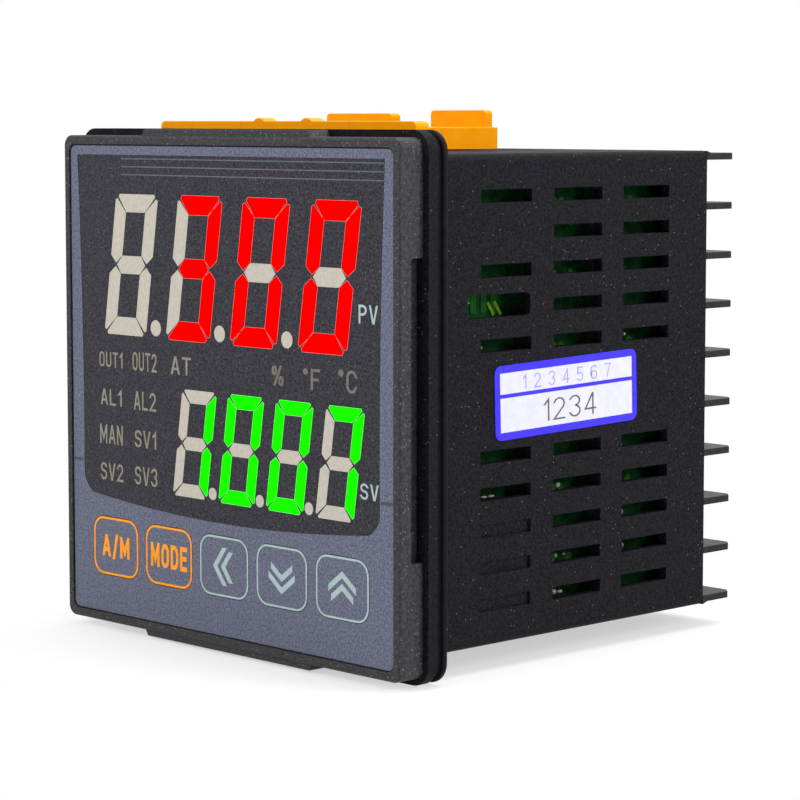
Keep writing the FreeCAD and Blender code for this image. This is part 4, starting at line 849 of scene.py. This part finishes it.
@dataclass
class KeyPrint:
    """Print on one key: a rounded outline, with a word or a double chevron inside it. Millimetres."""

    node: str
    skin: Skin
    line: float
    word: str = ""
    word_width: float = 0.0
    word_height: float = 0.0
    word_weight: float = 0.0
    arrow: Arrow | None = None
    radius: float = 2.2
    stroke: float = 0.94
    outer_half: float = 2.72
    inner_half: float = 2.2
    rise: float = 2.05
    step: float = 1.72

    def chevron(self, half: float, foot: float) -> Mesh:
        """One chevron that points down, its arms cut upright at their ends.

        Args:
            half: Half its width.
            foot: Height of its lower tip.

        Returns:
            A flat mesh.
        """
        sheet = bmesh.new()
        tip = sheet.verts.new((0, 0, foot * MM))
        for side in (-1, 1):
            end = sheet.verts.new((side * half * MM, 0, (foot + self.rise * half / self.outer_half) * MM))
            sheet.edges.new((tip, end))
        grown = bmesh.ops.extrude_edge_only(sheet, edges=sheet.edges[:])
        tops = [item for item in grown["geom"] if isinstance(item, bmesh.types.BMVert)]
        bmesh.ops.translate(sheet, verts=tops, vec=(0, 0, self.stroke * MM))
        bmesh.ops.recalc_face_normals(sheet, faces=sheet.faces)
        for face in sheet.faces:
            if face.normal.y > 0:
                face.normal_flip()
        return sheet

    def symbol(self) -> Mesh:
        """The word or the two chevrons.

        Returns:
            Flat shapes around the key's middle.
        """
        if self.arrow is None:
            return fitted(lettering(self.word, self.word_weight), self.word_width * MM, self.word_height * MM)
        low = -(self.rise + self.stroke + self.step) / 2
        pair = merged([self.chevron(self.outer_half, low), self.chevron(self.inner_half, low + self.step)])
        return rotated(pair, self.arrow.value, "Y")

    def cap_half_height(self) -> float:
        """Measures the cap, the part of the key that lies in the film.

        Returns:
            Half its height, in metres.
        """
        vertices = frame["nodes"][self.node].data.vertices
        face = node_box(self.node)[0].y + FACE_SKIN
        front = [vertex.co.z for vertex in vertices if vertex.co.y < face]
        return (max(front) - min(front)) / 2

    def build(self) -> None:
        """Prints the key."""
        low, high = node_box(self.node)
        cap = rounded_face(high.x - low.x, 2 * self.cap_half_height(), self.radius * MM)
        legend = raised(merged([outlined(cap, self.line * MM), self.symbol()]), (INK + SINK) * MM)
        moved(legend, ((low.x + high.x) / 2, low.y + SINK * MM, (low.z + high.z) / 2))
        finished(f"{self.node}_print", legend, self.skin, f"{self.node}_body")


KEY_PRINTS = [
    KeyPrint("key_auto_manual", Skin.PRINT_ORANGE, 0.33, "A/M", 6.5, 3.75, 0.22),
    KeyPrint("key_mode", Skin.PRINT_ORANGE, 0.33, "MODE", 8.3, 3.55, 0.23),
    KeyPrint("key_shift", Skin.PRINT_PALE, 0.3, arrow=Arrow.LEFT),
    KeyPrint("key_down", Skin.PRINT_PALE, 0.3, arrow=Arrow.DOWN),
    KeyPrint("key_up", Skin.PRINT_PALE, 0.3, arrow=Arrow.UP),
]


@dataclass
class LightPipes:
    """Segments' front faces: wider than the pipes behind, with cut corners and a thin edge. Millimetres."""

    node: str
    skin: Skin
    edge_skin: Skin
    edge: float
    growth: float = 0.0
    long_side: float = 3.4
    clip: float = 0.35
    sharp: float = 78.0
    thickness: float = 0.012
    flat_within: float = 1.0
    looks_forward: float = -0.9

    def outline(self) -> Mesh:
        """The segments' front faces, widened and with cut corners where the pieces grow.

        Returns:
            Flat faces at the segments' own depth.
        """
        sheet = bmesh.new()
        sheet.from_mesh(frame["nodes"][self.node].data)
        bmesh.ops.remove_doubles(sheet, verts=sheet.verts, dist=WELD)
        bmesh.ops.dissolve_limit(sheet, angle_limit=math.radians(self.flat_within), verts=sheet.verts,
                                 edges=sheet.edges)
        others = [face for face in sheet.faces if face.normal.y > self.looks_forward]
        bmesh.ops.delete(sheet, geom=others, context="FACES")
        if self.growth > 0.0:
            self.widen(sheet)
        return sheet

    def widen(self, sheet: Mesh) -> None:
        """Moves long sides outwards and cuts sharp corners.

        Args:
            sheet: The segments' front faces, changed here.
        """
        for face in sheet.faces:
            middle = face.calc_center_median()
            for side in [edge for edge in face.edges if edge.calc_length() > self.long_side * MM]:
                first, last = (vertex.co for vertex in side.verts)
                along = (last - first).normalized()
                outwards = (first + last) / 2 - middle
                outwards = (outwards - along * outwards.dot(along)).normalized()
                bmesh.ops.translate(sheet, verts=side.verts[:], vec=outwards * self.growth * MM)
        sharp = [loop.vert for face in sheet.faces for loop in face.loops
                 if math.degrees(loop.calc_angle()) < self.sharp]
        bmesh.ops.bevel(sheet, geom=sharp, offset=self.clip * MM, affect="VERTICES", segments=1, profile=0.5,
                        material=-1)

    def build(self) -> None:
        """Lays the faces and their edges on the window."""
        front = min(node_box("display_window")[0].y, node_box(self.node)[0].y)
        back = node_box(self.node)[0].y
        face = raised(moved(self.outline(), (0, front - back, 0)), self.thickness * MM)
        finished(f"{self.node}_faces", face, self.skin)
        strips = outlined(self.outline(), self.edge * MM)
        edges = raised(moved(strips, (0, front - back - self.thickness * MM, 0)), self.thickness * MM)
        finished(f"{self.node}_edges", edges, self.edge_skin)


LIGHT_PIPES = [
    LightPipes("pv_segments_lit", Skin.RED, Skin.SEGMENT_EDGE, 0.06, growth=0.26, clip=0.65),
    LightPipes("sv_segments_lit", Skin.GREEN, Skin.SEGMENT_EDGE, 0.06, growth=0.18, long_side=2.5, clip=0.45),
    LightPipes("pv_segments_dark", Skin.UNLIT, Skin.DARK_BORDER_AND_GAP_SHADE, 0.05, growth=0.2, clip=0.65),
    LightPipes("sv_segments_dark", Skin.UNLIT, Skin.DARK_BORDER_AND_GAP_SHADE, 0.05, growth=0.14, long_side=2.5, clip=0.45),
    LightPipes("pv_points", Skin.UNLIT, Skin.DARK_BORDER_AND_GAP_SHADE, 0.05),
    LightPipes("sv_points", Skin.UNLIT, Skin.DARK_BORDER_AND_GAP_SHADE, 0.05),
]


# ---------------------------------------------------------------- side wall
@dataclass
class LabelPrint:
    """Fields and plain numbers on the inspection label. Millimetres, across and up the label."""

    border: float = 1.05
    divider: float = 0.55
    upper_share: float = 0.38
    ink: float = 0.012
    sink: float = 0.004
    tilt: float = 1.7
    label_width: float = 29.3
    label_height: float = 10.3
    scale_size: tuple[float, float] = (18.3, 2.2)
    number_size: tuple[float, float] = (11.0, 3.3)
    number_shift: float = 0.4

    def printed(self, name: str, sheets: list[Mesh], lift: float, skin: Skin) -> None:
        """Lays flat shapes on the label as ink.

        Args:
            name: The piece's name.
            sheets: Flat shapes around the label's middle, X across and Z up.
            lift: How far above the label they start.
            skin: The ink.
        """
        low, high = node_box("inspection_label")
        print_body = raised(merged(sheets), (self.ink + self.sink) * MM)
        rotated(rotated(print_body, 90, "Z"), self.tilt, "X")
        moved(print_body, (high.x + (lift - self.sink) * MM, (low.y + high.y) / 2, (low.z + high.z) / 2))
        finished(name, print_body, skin)

    def build(self) -> None:
        """Prints the two white fields and a number in each."""
        inner_width = self.label_width - 2 * self.border
        inner_height = self.label_height - 2 * self.border
        upper = (inner_height - self.divider) * self.upper_share
        lower = inner_height - self.divider - upper
        upper_z = inner_height / 2 - upper / 2
        lower_z = -inner_height / 2 + lower / 2
        fields = [moved(rounded_face(inner_width * MM, upper * MM), (0, 0, upper_z * MM)),
                  moved(rounded_face(inner_width * MM, lower * MM), (0, 0, lower_z * MM))]
        self.printed("label_fields", fields, 0.0, Skin.LABEL_WHITE)
        scale = fitted(lettering("1234567", 0.1, 0.75), self.scale_size[0] * MM, self.scale_size[1] * MM)
        self.printed("label_scale", [moved(scale, (0, 0, upper_z * MM))], self.ink, Skin.LABEL_PALE_INK)
        number = fitted(lettering("1234", 0.08, 0.22), self.number_size[0] * MM, self.number_size[1] * MM)
        place = (self.number_shift * MM, 0, lower_z * MM)
        self.printed("label_number", [moved(number, place)], self.ink, Skin.LABEL_INK)


@dataclass
class SolderSide:
    """Solder, wide tracks and painted solder glints on the outer face of the right-hand board. Millimetres
    from its front edge.

    Each glint blob, white solder that stands in for a highlight, is given by its depth and height in the row
    frame, its length and how tall it is.
    """

    joint_radius: float = 0.75
    tip_share: float = 0.3
    tip_round: float = 0.12
    joint_height: float = 0.55
    columns: tuple[float, ...] = (3.2, 20.6, 24.1, 30.4, 36.7, 43.8)
    pitch: float = 5.08
    rows: int = 11
    track_thickness: float = 0.04
    track_width: float = 1.1
    track_share: float = 0.9
    track_radius: float = 0.4
    track_offset: float = 1.9
    lean: float = 35
    stripe_places: tuple[float, ...] = (5.9, 7.3)
    stripe_width: float = 0.5
    stripe_length: float = 2.2
    stripe_drop: float = 0.7
    blob_height: float = 0.3
    # Painted glints: white blobs where the solder catches the light.
    glint_places: tuple[tuple[float, float, float, float], ...] = (
        (-16.8, 50.3, 0.4, 0.3), (-14.4, 44.0, 0.5, 0.45), (15.4, 44.3, 0.6, 0.6), (1.4, 23.5, 0.9, 0.8),
        (-13.7, 23.2, 1.2, 0.36), (-12.2, 23.2, 1.3, 0.36), (15.2, 18.2, 0.3, 0.8), (15.4, 13.3, 0.3, 0.8),
        (1.0, 13.4, 0.6, 0.65), (2.7, 13.4, 0.6, 0.4), (0.7, 8.2, 0.9, 0.8), (1.9, 8.1, 1.1, 0.5))

    def joint(self) -> Mesh:
        """One solder joint: a low cone with a rounded tip.

        Returns:
            A closed mesh that stands towards +X, with its middle at the origin.
        """
        cone = bmesh.new()
        bmesh.ops.create_cone(cone, cap_ends=True, segments=10, radius1=self.joint_radius * MM,
                              radius2=self.tip_share * self.joint_radius * MM, depth=self.joint_height * MM)
        tops = [edge for edge in cone.edges if all(vertex.co.z > 0 for vertex in edge.verts)]
        bmesh.ops.bevel(cone, geom=tops, offset=self.tip_round * MM, affect="EDGES", segments=2, profile=0.5,
                        material=-1)
        return rotated(cone, 90, "Y")

    def height(self, row: int) -> float:
        """Height of a row of holes above the board's middle."""
        return (row - (self.rows - 1) / 2) * self.pitch * MM

    def laid(self, strip: Mesh, lean: float) -> Mesh:
        """A flat strip as copper on the board, leaning by an angle."""
        return rotated(raised(rotated(strip, lean, "Y"), self.track_thickness * MM), 90, "Z")

    def joints(self, low: Vector, high: Vector) -> list[Mesh]:
        """Joints in four of every seven holes, spread evenly.

        Args:
            low: The board's lowest corner.
            high: Its highest corner.

        Returns:
            The joints, one mesh each.
        """
        middle = (low.z + high.z) / 2
        return [moved(self.joint(), (high.x + self.joint_height / 2 * MM, low.y + column * MM,
                                     middle + self.height(row)))
                for index, column in enumerate(self.columns) for row in range(self.rows)
                if (row * 3 + index * 5) % 7 <= 3]

    def glint_tin(self, face: float) -> list[Mesh]:
        """Flat white blobs of tin, half sunk into the board's face, coloured as painted glints where the
        solder catches the light.

        Args:
            face: How far the board's face lies along X.

        Returns:
            The blobs, one mesh each.
        """
        glint_tin = []
        for depth, height, length, tall in self.glint_places:
            blob = bmesh.new()
            bmesh.ops.create_uvsphere(blob, u_segments=12, v_segments=6, radius=0.5 * MM)
            bmesh.ops.scale(blob, verts=blob.verts, vec=(2 * self.blob_height, length, tall))
            glint_tin.append(moved(blob, (face, depth * MM, height * MM)))
        return glint_tin

    def tracks(self, low: Vector, high: Vector) -> list[Mesh]:
        """Slanted tracks between the columns, in every other row.

        Args:
            low: The board's lowest corner.
            high: Its highest corner.

        Returns:
            The tracks, one mesh each.
        """
        middle = (low.z + high.z) / 2
        tracks = []
        for index, column in enumerate(self.columns[:-1]):
            for row in range(0, self.rows, 2):
                strip = rounded_face(self.track_width * MM, (self.pitch * self.track_share) * MM,
                                     self.track_radius * MM, 3)
                track = self.laid(strip, self.lean if (row + index) % 4 else -self.lean)
                place = (high.x, low.y + (column + self.track_offset) * MM, middle + self.height(row))
                tracks.append(moved(track, place))
        return tracks

    def build(self) -> None:
        """Sets the joints and the painted glint blobs, and lays the tracks and the stripes behind the port.
        """
        low, high = node_box("side_board_right")
        finished("solder_joints", merged(self.joints(low, high)), Skin.SOLDER, smooth=True)
        # White blobs on the solder: painted glints.
        finished("solder_glint_blobs", merged(self.glint_tin(high.x)), Skin.SOLDER_GLINT, smooth=True)
        finished("board_tracks", merged(self.tracks(low, high)), Skin.TRACK)
        low, high = node_box("loader_pads")
        height = (low.z + high.z) / 2 - self.stripe_drop * MM
        stripes = [moved(self.laid(rounded_face(self.stripe_width * MM, self.stripe_length * MM), -self.lean),
                         (high.x, low.y + place * MM, height)) for place in self.stripe_places]
        finished("loader_stripes", merged(stripes), Skin.STRIPE)


# ---------------------------------------------------------------- turned pieces
def turned(profile: list[tuple[float, float]], steps: int) -> Mesh:
    """Turns a profile round the Z axis.

    Args:
        profile: Radius and height of each point, from the axis at one end to the axis at the other.
        steps: Number of sides.

    Returns:
        A closed mesh.
    """
    body = bmesh.new()
    points = [body.verts.new((radius, 0.0, height)) for radius, height in profile]
    for start, end in zip(points, points[1:]):
        body.edges.new((start, end))
    bmesh.ops.spin(body, geom=body.verts[:] + body.edges[:], cent=(0, 0, 0), axis=(0, 0, 1), dvec=(0, 0, 0),
                   angle=math.radians(360), steps=steps, use_merge=True, use_duplicate=False)
    bmesh.ops.remove_doubles(body, verts=body.verts, dist=SPUN_WELD)
    bmesh.ops.recalc_face_normals(body, faces=body.faces)
    return body


@dataclass
class TerminalScrews:
    """The eighteen terminal screws: pan heads with a cross recess, and threaded shanks. Millimetres."""

    node: str = "terminal_screws"
    head_height: float = 2.1
    shank_radius: float = 1.4
    thread_depth: float = 0.22
    thread_pitch: float = 0.5
    recess_radius: float = 1.55
    recess_width: float = 0.62
    recess_depth: float = 1.15
    recess_taper: tuple[float, float] = (0.45, 0.7)
    crown_foot: float = 0.42
    crown_flat: float = 0.62
    turn_step: int = 37
    sides: int = 24
    shank_sides: int = 16
    shank_tip: float = 0.7
    crown_steps: int = 5

    def blank(self, radius: float) -> Mesh:
        """Head without its recess, standing on z = 0.

        Args:
            radius: The head's radius in metres.

        Returns:
            A closed mesh.
        """
        tall = self.head_height * MM
        profile = [(0.0, 0.0), (radius, 0.0), (radius, self.crown_foot * tall)]
        for step in range(1, self.crown_steps + 1):
            turn = math.radians(90 * step / self.crown_steps)
            profile.append((radius * (self.crown_flat + (1 - self.crown_flat) * math.cos(turn)),
                            tall * (self.crown_foot + (1 - self.crown_foot) * math.sin(turn))))
        profile.append((0.0, tall))
        return turned(profile, self.sides)

    def cutter(self) -> list[Mesh]:
        """Two crossed bars that taper towards their bottom.

        Returns:
            The bars, with their middles at the top of the head.
        """
        arms = []
        for turn in (0, 90):
            arm = bmesh.new()
            bmesh.ops.create_cube(arm, size=1.0)
            size = Vector((2 * self.recess_radius, self.recess_width, 2 * self.recess_depth)) * MM
            bmesh.ops.scale(arm, verts=arm.verts, vec=size)
            floor = [vertex for vertex in arm.verts if vertex.co.z < 0]
            bmesh.ops.scale(arm, verts=floor, vec=(*self.recess_taper, 1.0))
            rotated(arm, turn, "Z")
            arms.append(moved(arm, (0, 0, self.head_height * MM)))
        return arms

    def recessed(self, blank: Mesh) -> Mesh:
        """Cuts the cross into a head.

        Args:
            blank: The head, freed here.

        Returns:
            The finished head.
        """
        head = linked("blank", stored("blank", blank))
        tools = []
        for index, arm in enumerate(self.cutter()):
            tool = linked("cutter", stored("cutter", arm))
            tools.append(tool)
            step = head.modifiers.new(f"cross_{index}", "BOOLEAN")
            step.operation = "DIFFERENCE"
            step.solver = "EXACT"
            step.object = tool
        bpy.context.view_layer.update()
        result = bpy.data.meshes.new_from_object(head.evaluated_get(bpy.context.evaluated_depsgraph_get()))
        cut_head = bmesh.new()
        cut_head.from_mesh(result)
        for item in [head] + tools:
            bpy.data.objects.remove(item)
        bpy.data.meshes.remove(result)
        return cut_head

    def shank(self, length: float) -> Mesh:
        """Threaded shank below z = 0.

        Args:
            length: Its length in metres.

        Returns:
            A closed mesh.
        """
        profile = [(0.0, 0.0)]
        crest = self.shank_radius * MM
        root = (self.shank_radius - self.thread_depth) * MM
        turns = int(length / (self.thread_pitch * MM))
        for index in range(turns):
            top = -index * self.thread_pitch * MM
            profile += [(root, top), (crest, top - 0.5 * self.thread_pitch * MM)]
        profile += [(root, -turns * self.thread_pitch * MM), (self.shank_tip * root, -length),
                    (0.0, -length)]
        return turned(profile, self.shank_sides)

    def build(self) -> None:
        """Puts a screw at every terminal and shows them in place of the plain ones."""
        places = islands(self.node)
        low, high = places[0]
        radius = (high.x - low.x) / 2
        head = self.recessed(self.blank(radius))
        screw = rotated(merged([head, self.shank(high.y - low.y - self.head_height * MM)]), -90, "X")
        screws = []
        for index, (low, high) in enumerate(places):
            place = ((low.x + high.x) / 2, high.y - self.head_height * MM, (low.z + high.z) / 2)
            screws.append(moved(rotated(screw.copy(), self.turn_step * index % 90, "Y"), place))
        screw.free()
        piece = finished("terminal_screws_driven", merged(screws), Skin.STEEL, smooth=True)
        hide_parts(self.node)


@dataclass
class Capacitors:
    """Sleeved capacitor cans with a crimped neck and a scored metal end. Millimetres."""

    node: str = "electrolytic_capacitors"
    neck_depth: float = 0.35
    neck_from_board: float = 2.2
    roll: float = 0.45
    end_share: float = 0.78
    end_sink: float = 0.1
    lid_share: float = 0.76
    lid_depths: tuple[float, float] = (0.11, 0.03)
    sides: int = 28

    def sleeve(self, radius: float, length: float) -> Mesh:
        """Can along Z with its base at z = 0.

        Args:
            radius: Its radius in metres.
            length: Its length in metres.

        Returns:
            A closed mesh.
        """
        neck = radius - self.neck_depth * MM
        low = self.neck_from_board * MM
        roll = self.roll * MM
        end = length - self.end_sink * MM
        profile = [(0.0, 0.0), (radius - roll, 0.0), (radius, roll), (radius, low - roll), (neck, low),
                   (radius, low + roll), (radius, length - roll), (radius - 0.3 * roll, length - 0.3 * roll),
                   (radius - roll, length), (self.end_share * radius, length), (self.end_share * radius, end),
                   (0.0, end)]
        return turned(profile, self.sides)

    def lid(self, radius: float, length: float) -> Mesh:
        """Metal end of a can, inside its sleeve's opening.

        Args:
            radius: The can's radius in metres.
            length: The can's length in metres.

        Returns:
            A closed mesh.
        """
        base, top = (length - depth * MM for depth in self.lid_depths)
        edge = self.lid_share * radius
        return turned([(0.0, base), (edge, base), (edge, top), (0.0, top)], self.sides)

    def build(self) -> None:
        """Shows the cans in place of the plain ones."""
        cans = []
        ends = []
        for low, high in islands(self.node):
            radius = (high.y - low.y) / 2
            length = high.x - low.x
            place = (high.x, (low.y + high.y) / 2, (low.z + high.z) / 2)
            cans.append(moved(rotated(self.sleeve(radius, length), -90, "Y"), place))
            ends.append(moved(rotated(self.lid(radius, length), -90, "Y"), place))
        piece = finished("capacitor_sleeves", merged(cans), Skin.CAPACITOR, smooth=True)
        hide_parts(self.node)
        finished("capacitor_ends", merged(ends), Skin.CAN_END)


# ---------------------------------------------------------------- studio
@dataclass(frozen=True)
class Lamp:
    """A square soft lamp: its place and side in metres, and its power in watts."""

    name: str
    place: Triple
    size: float
    power: float

    def light(self, target: Vector) -> None:
        """Adds the lamp to the scene.

        Args:
            target: The point that it faces.
        """
        data = bpy.data.lights.new(self.name, "AREA")
        data.shape = "SQUARE"
        data.size = self.size
        data.energy = self.power
        lamp = linked(self.name, data)
        lamp.location = self.place
        lamp.rotation_euler = (target - Vector(self.place)).to_track_quat("-Z", "Y").to_euler()


def looks(tree: Tree) -> bpy.types.Node:
    """Tells rays that show a surface from rays that carry its light.

    Args:
        tree: The tree that the nodes go into.

    Returns:
        A node that gives 1 to the eye, in reflections and through glass, and 0 otherwise.
    """
    path = add_node(tree, "ShaderNodeLightPath")
    direct = add_node(tree, "ShaderNodeMath", {"operation": "MAXIMUM"})
    through = add_node(tree, "ShaderNodeMath", {"operation": "MAXIMUM"})
    wire(tree, [(path, "Is Camera Ray", direct, 0), (path, "Is Glossy Ray", direct, 1),
                (direct, 0, through, 0), (path, "Is Transmission Ray", through, 1)])
    return through


@dataclass
class Studio:
    """Camera, lamps, floor and surroundings.

    Positions are in metres in the row frame; the camera looks from the front's right-hand side.
    """

    azimuth: float = 45.98
    elevation: float = 5.12
    distance: float = 0.4035
    target: Triple = (-0.0006, -0.0005, 0.0395)
    lens: float = 121.49
    shift: float = -0.05
    sensor: float = 36.0
    near: float = 0.01
    far: float = 20.0
    floor_size: float = 4.0
    floor_drop: float = 0.0003
    floor_tone: float = 0.95
    shadow_from: float = 0.036
    shadow_to: float = 0.07
    shadow_fade: float = 0.55
    ambient: float = 0.37
    lamps: tuple[Lamp, ...] = (
        Lamp("key", (-0.25, -0.75, 0.55), 0.6, 5.8), Lamp("side", (0.75, 0.36, 0.42), 0.4, 4.9),
        Lamp("top", (0.1, 0.25, 0.9), 0.7, 8.0))

    def camera(self) -> None:
        """Places the camera."""
        turn = math.radians(self.azimuth)
        rise = math.radians(self.elevation)
        away = Vector((math.sin(turn) * math.cos(rise), -math.cos(turn) * math.cos(rise), math.sin(rise)))
        data = bpy.data.cameras.new("camera")
        data.lens = self.lens
        data.sensor_width = self.sensor
        data.shift_y = self.shift
        data.clip_start = self.near
        data.clip_end = self.far
        eye = linked("camera", data)
        eye.location = Vector(self.target) + away * self.distance
        eye.rotation_euler = (-away).to_track_quat("-Z", "Y").to_euler()
        bpy.context.scene.camera = eye

    def surroundings(self) -> None:
        """White surroundings: full white to the eye and in reflections, softer as a light."""
        world = bpy.data.worlds.new("surroundings")
        bpy.context.scene.world = world
        tree = empty_tree(world)
        light, white = (add_node(tree, "ShaderNodeBackground", values={
            "Color": (1, 1, 1, 1), "Strength": strength}) for strength in (self.ambient, 1.0))
        mix = add_node(tree, "ShaderNodeMixShader")
        out = add_node(tree, "ShaderNodeOutputWorld")
        wire(tree, [(looks(tree), 0, mix, "Fac"), (light, 0, mix, 1), (white, 0, mix, 2),
                    (mix, 0, out, "Surface")])

    def floor_finish(self) -> bpy.types.Material:
        """White that takes the shadow near the controller and fades into the surroundings.

        Returns:
            The floor's material.
        """
        made = bpy.data.materials.new("floor_white")
        tree = empty_tree(made)
        place = add_node(tree, "ShaderNodeTexCoord")
        radius = add_node(tree, "ShaderNodeVectorMath", {"operation": "LENGTH"})
        fade = add_node(tree, "ShaderNodeMapRange", {"interpolation_type": "SMOOTHSTEP"}, {
            "From Min": self.shadow_from, "From Max": self.shadow_to, "To Min": self.shadow_fade})
        paper = add_node(tree, "ShaderNodeBsdfDiffuse", values={"Color": (*[self.floor_tone] * 3, 1)})
        white = add_node(tree, "ShaderNodeEmission", values={"Color": (1, 1, 1, 1), "Strength": 1.0})
        share = add_node(tree, "ShaderNodeMath", {"operation": "MULTIPLY"})
        mix = add_node(tree, "ShaderNodeMixShader")
        out = add_node(tree, "ShaderNodeOutputMaterial")
        wire(tree, [(place, "Object", radius, 0), (radius, "Value", fade, "Value"),
                    (fade, "Result", share, 0), (looks(tree), 0, share, 1), (share, 0, mix, "Fac"),
                    (paper, 0, mix, 1), (white, 0, mix, 2), (mix, 0, out, "Surface")])
        return made

    def floor(self) -> None:
        """Lays the floor under the controller."""
        sheet = bmesh.new()
        bmesh.ops.create_grid(sheet, x_segments=1, y_segments=1, size=self.floor_size / 2)
        moved(sheet, (0, 0, CAD_BOX[0][2] - self.floor_drop))
        data = stored("floor", sheet)
        data.materials.append(self.floor_finish())
        linked("floor", data)

    def build(self) -> None:
        """Sets up the camera, the lamps, the floor and the surroundings."""
        self.camera()
        self.surroundings()
        self.floor()
        for lamp in self.lamps:
            lamp.light(Vector(self.target))
        bpy.context.scene.view_settings.view_transform = "Standard"
        log.info("studio ready")


def main() -> None:
    """Builds the controller's looks around the frame."""
    for dressing in DRESSINGS:
        dressing.show()
    FrontPrint().build()
    for key_print in KEY_PRINTS:
        key_print.build()
    for pipes in LIGHT_PIPES:
        pipes.build()
    LabelPrint().build()
    SolderSide().build()
    TerminalScrews().build()
    Capacitors().build()
    Studio().build()


if __name__ == "__main__":
    main()
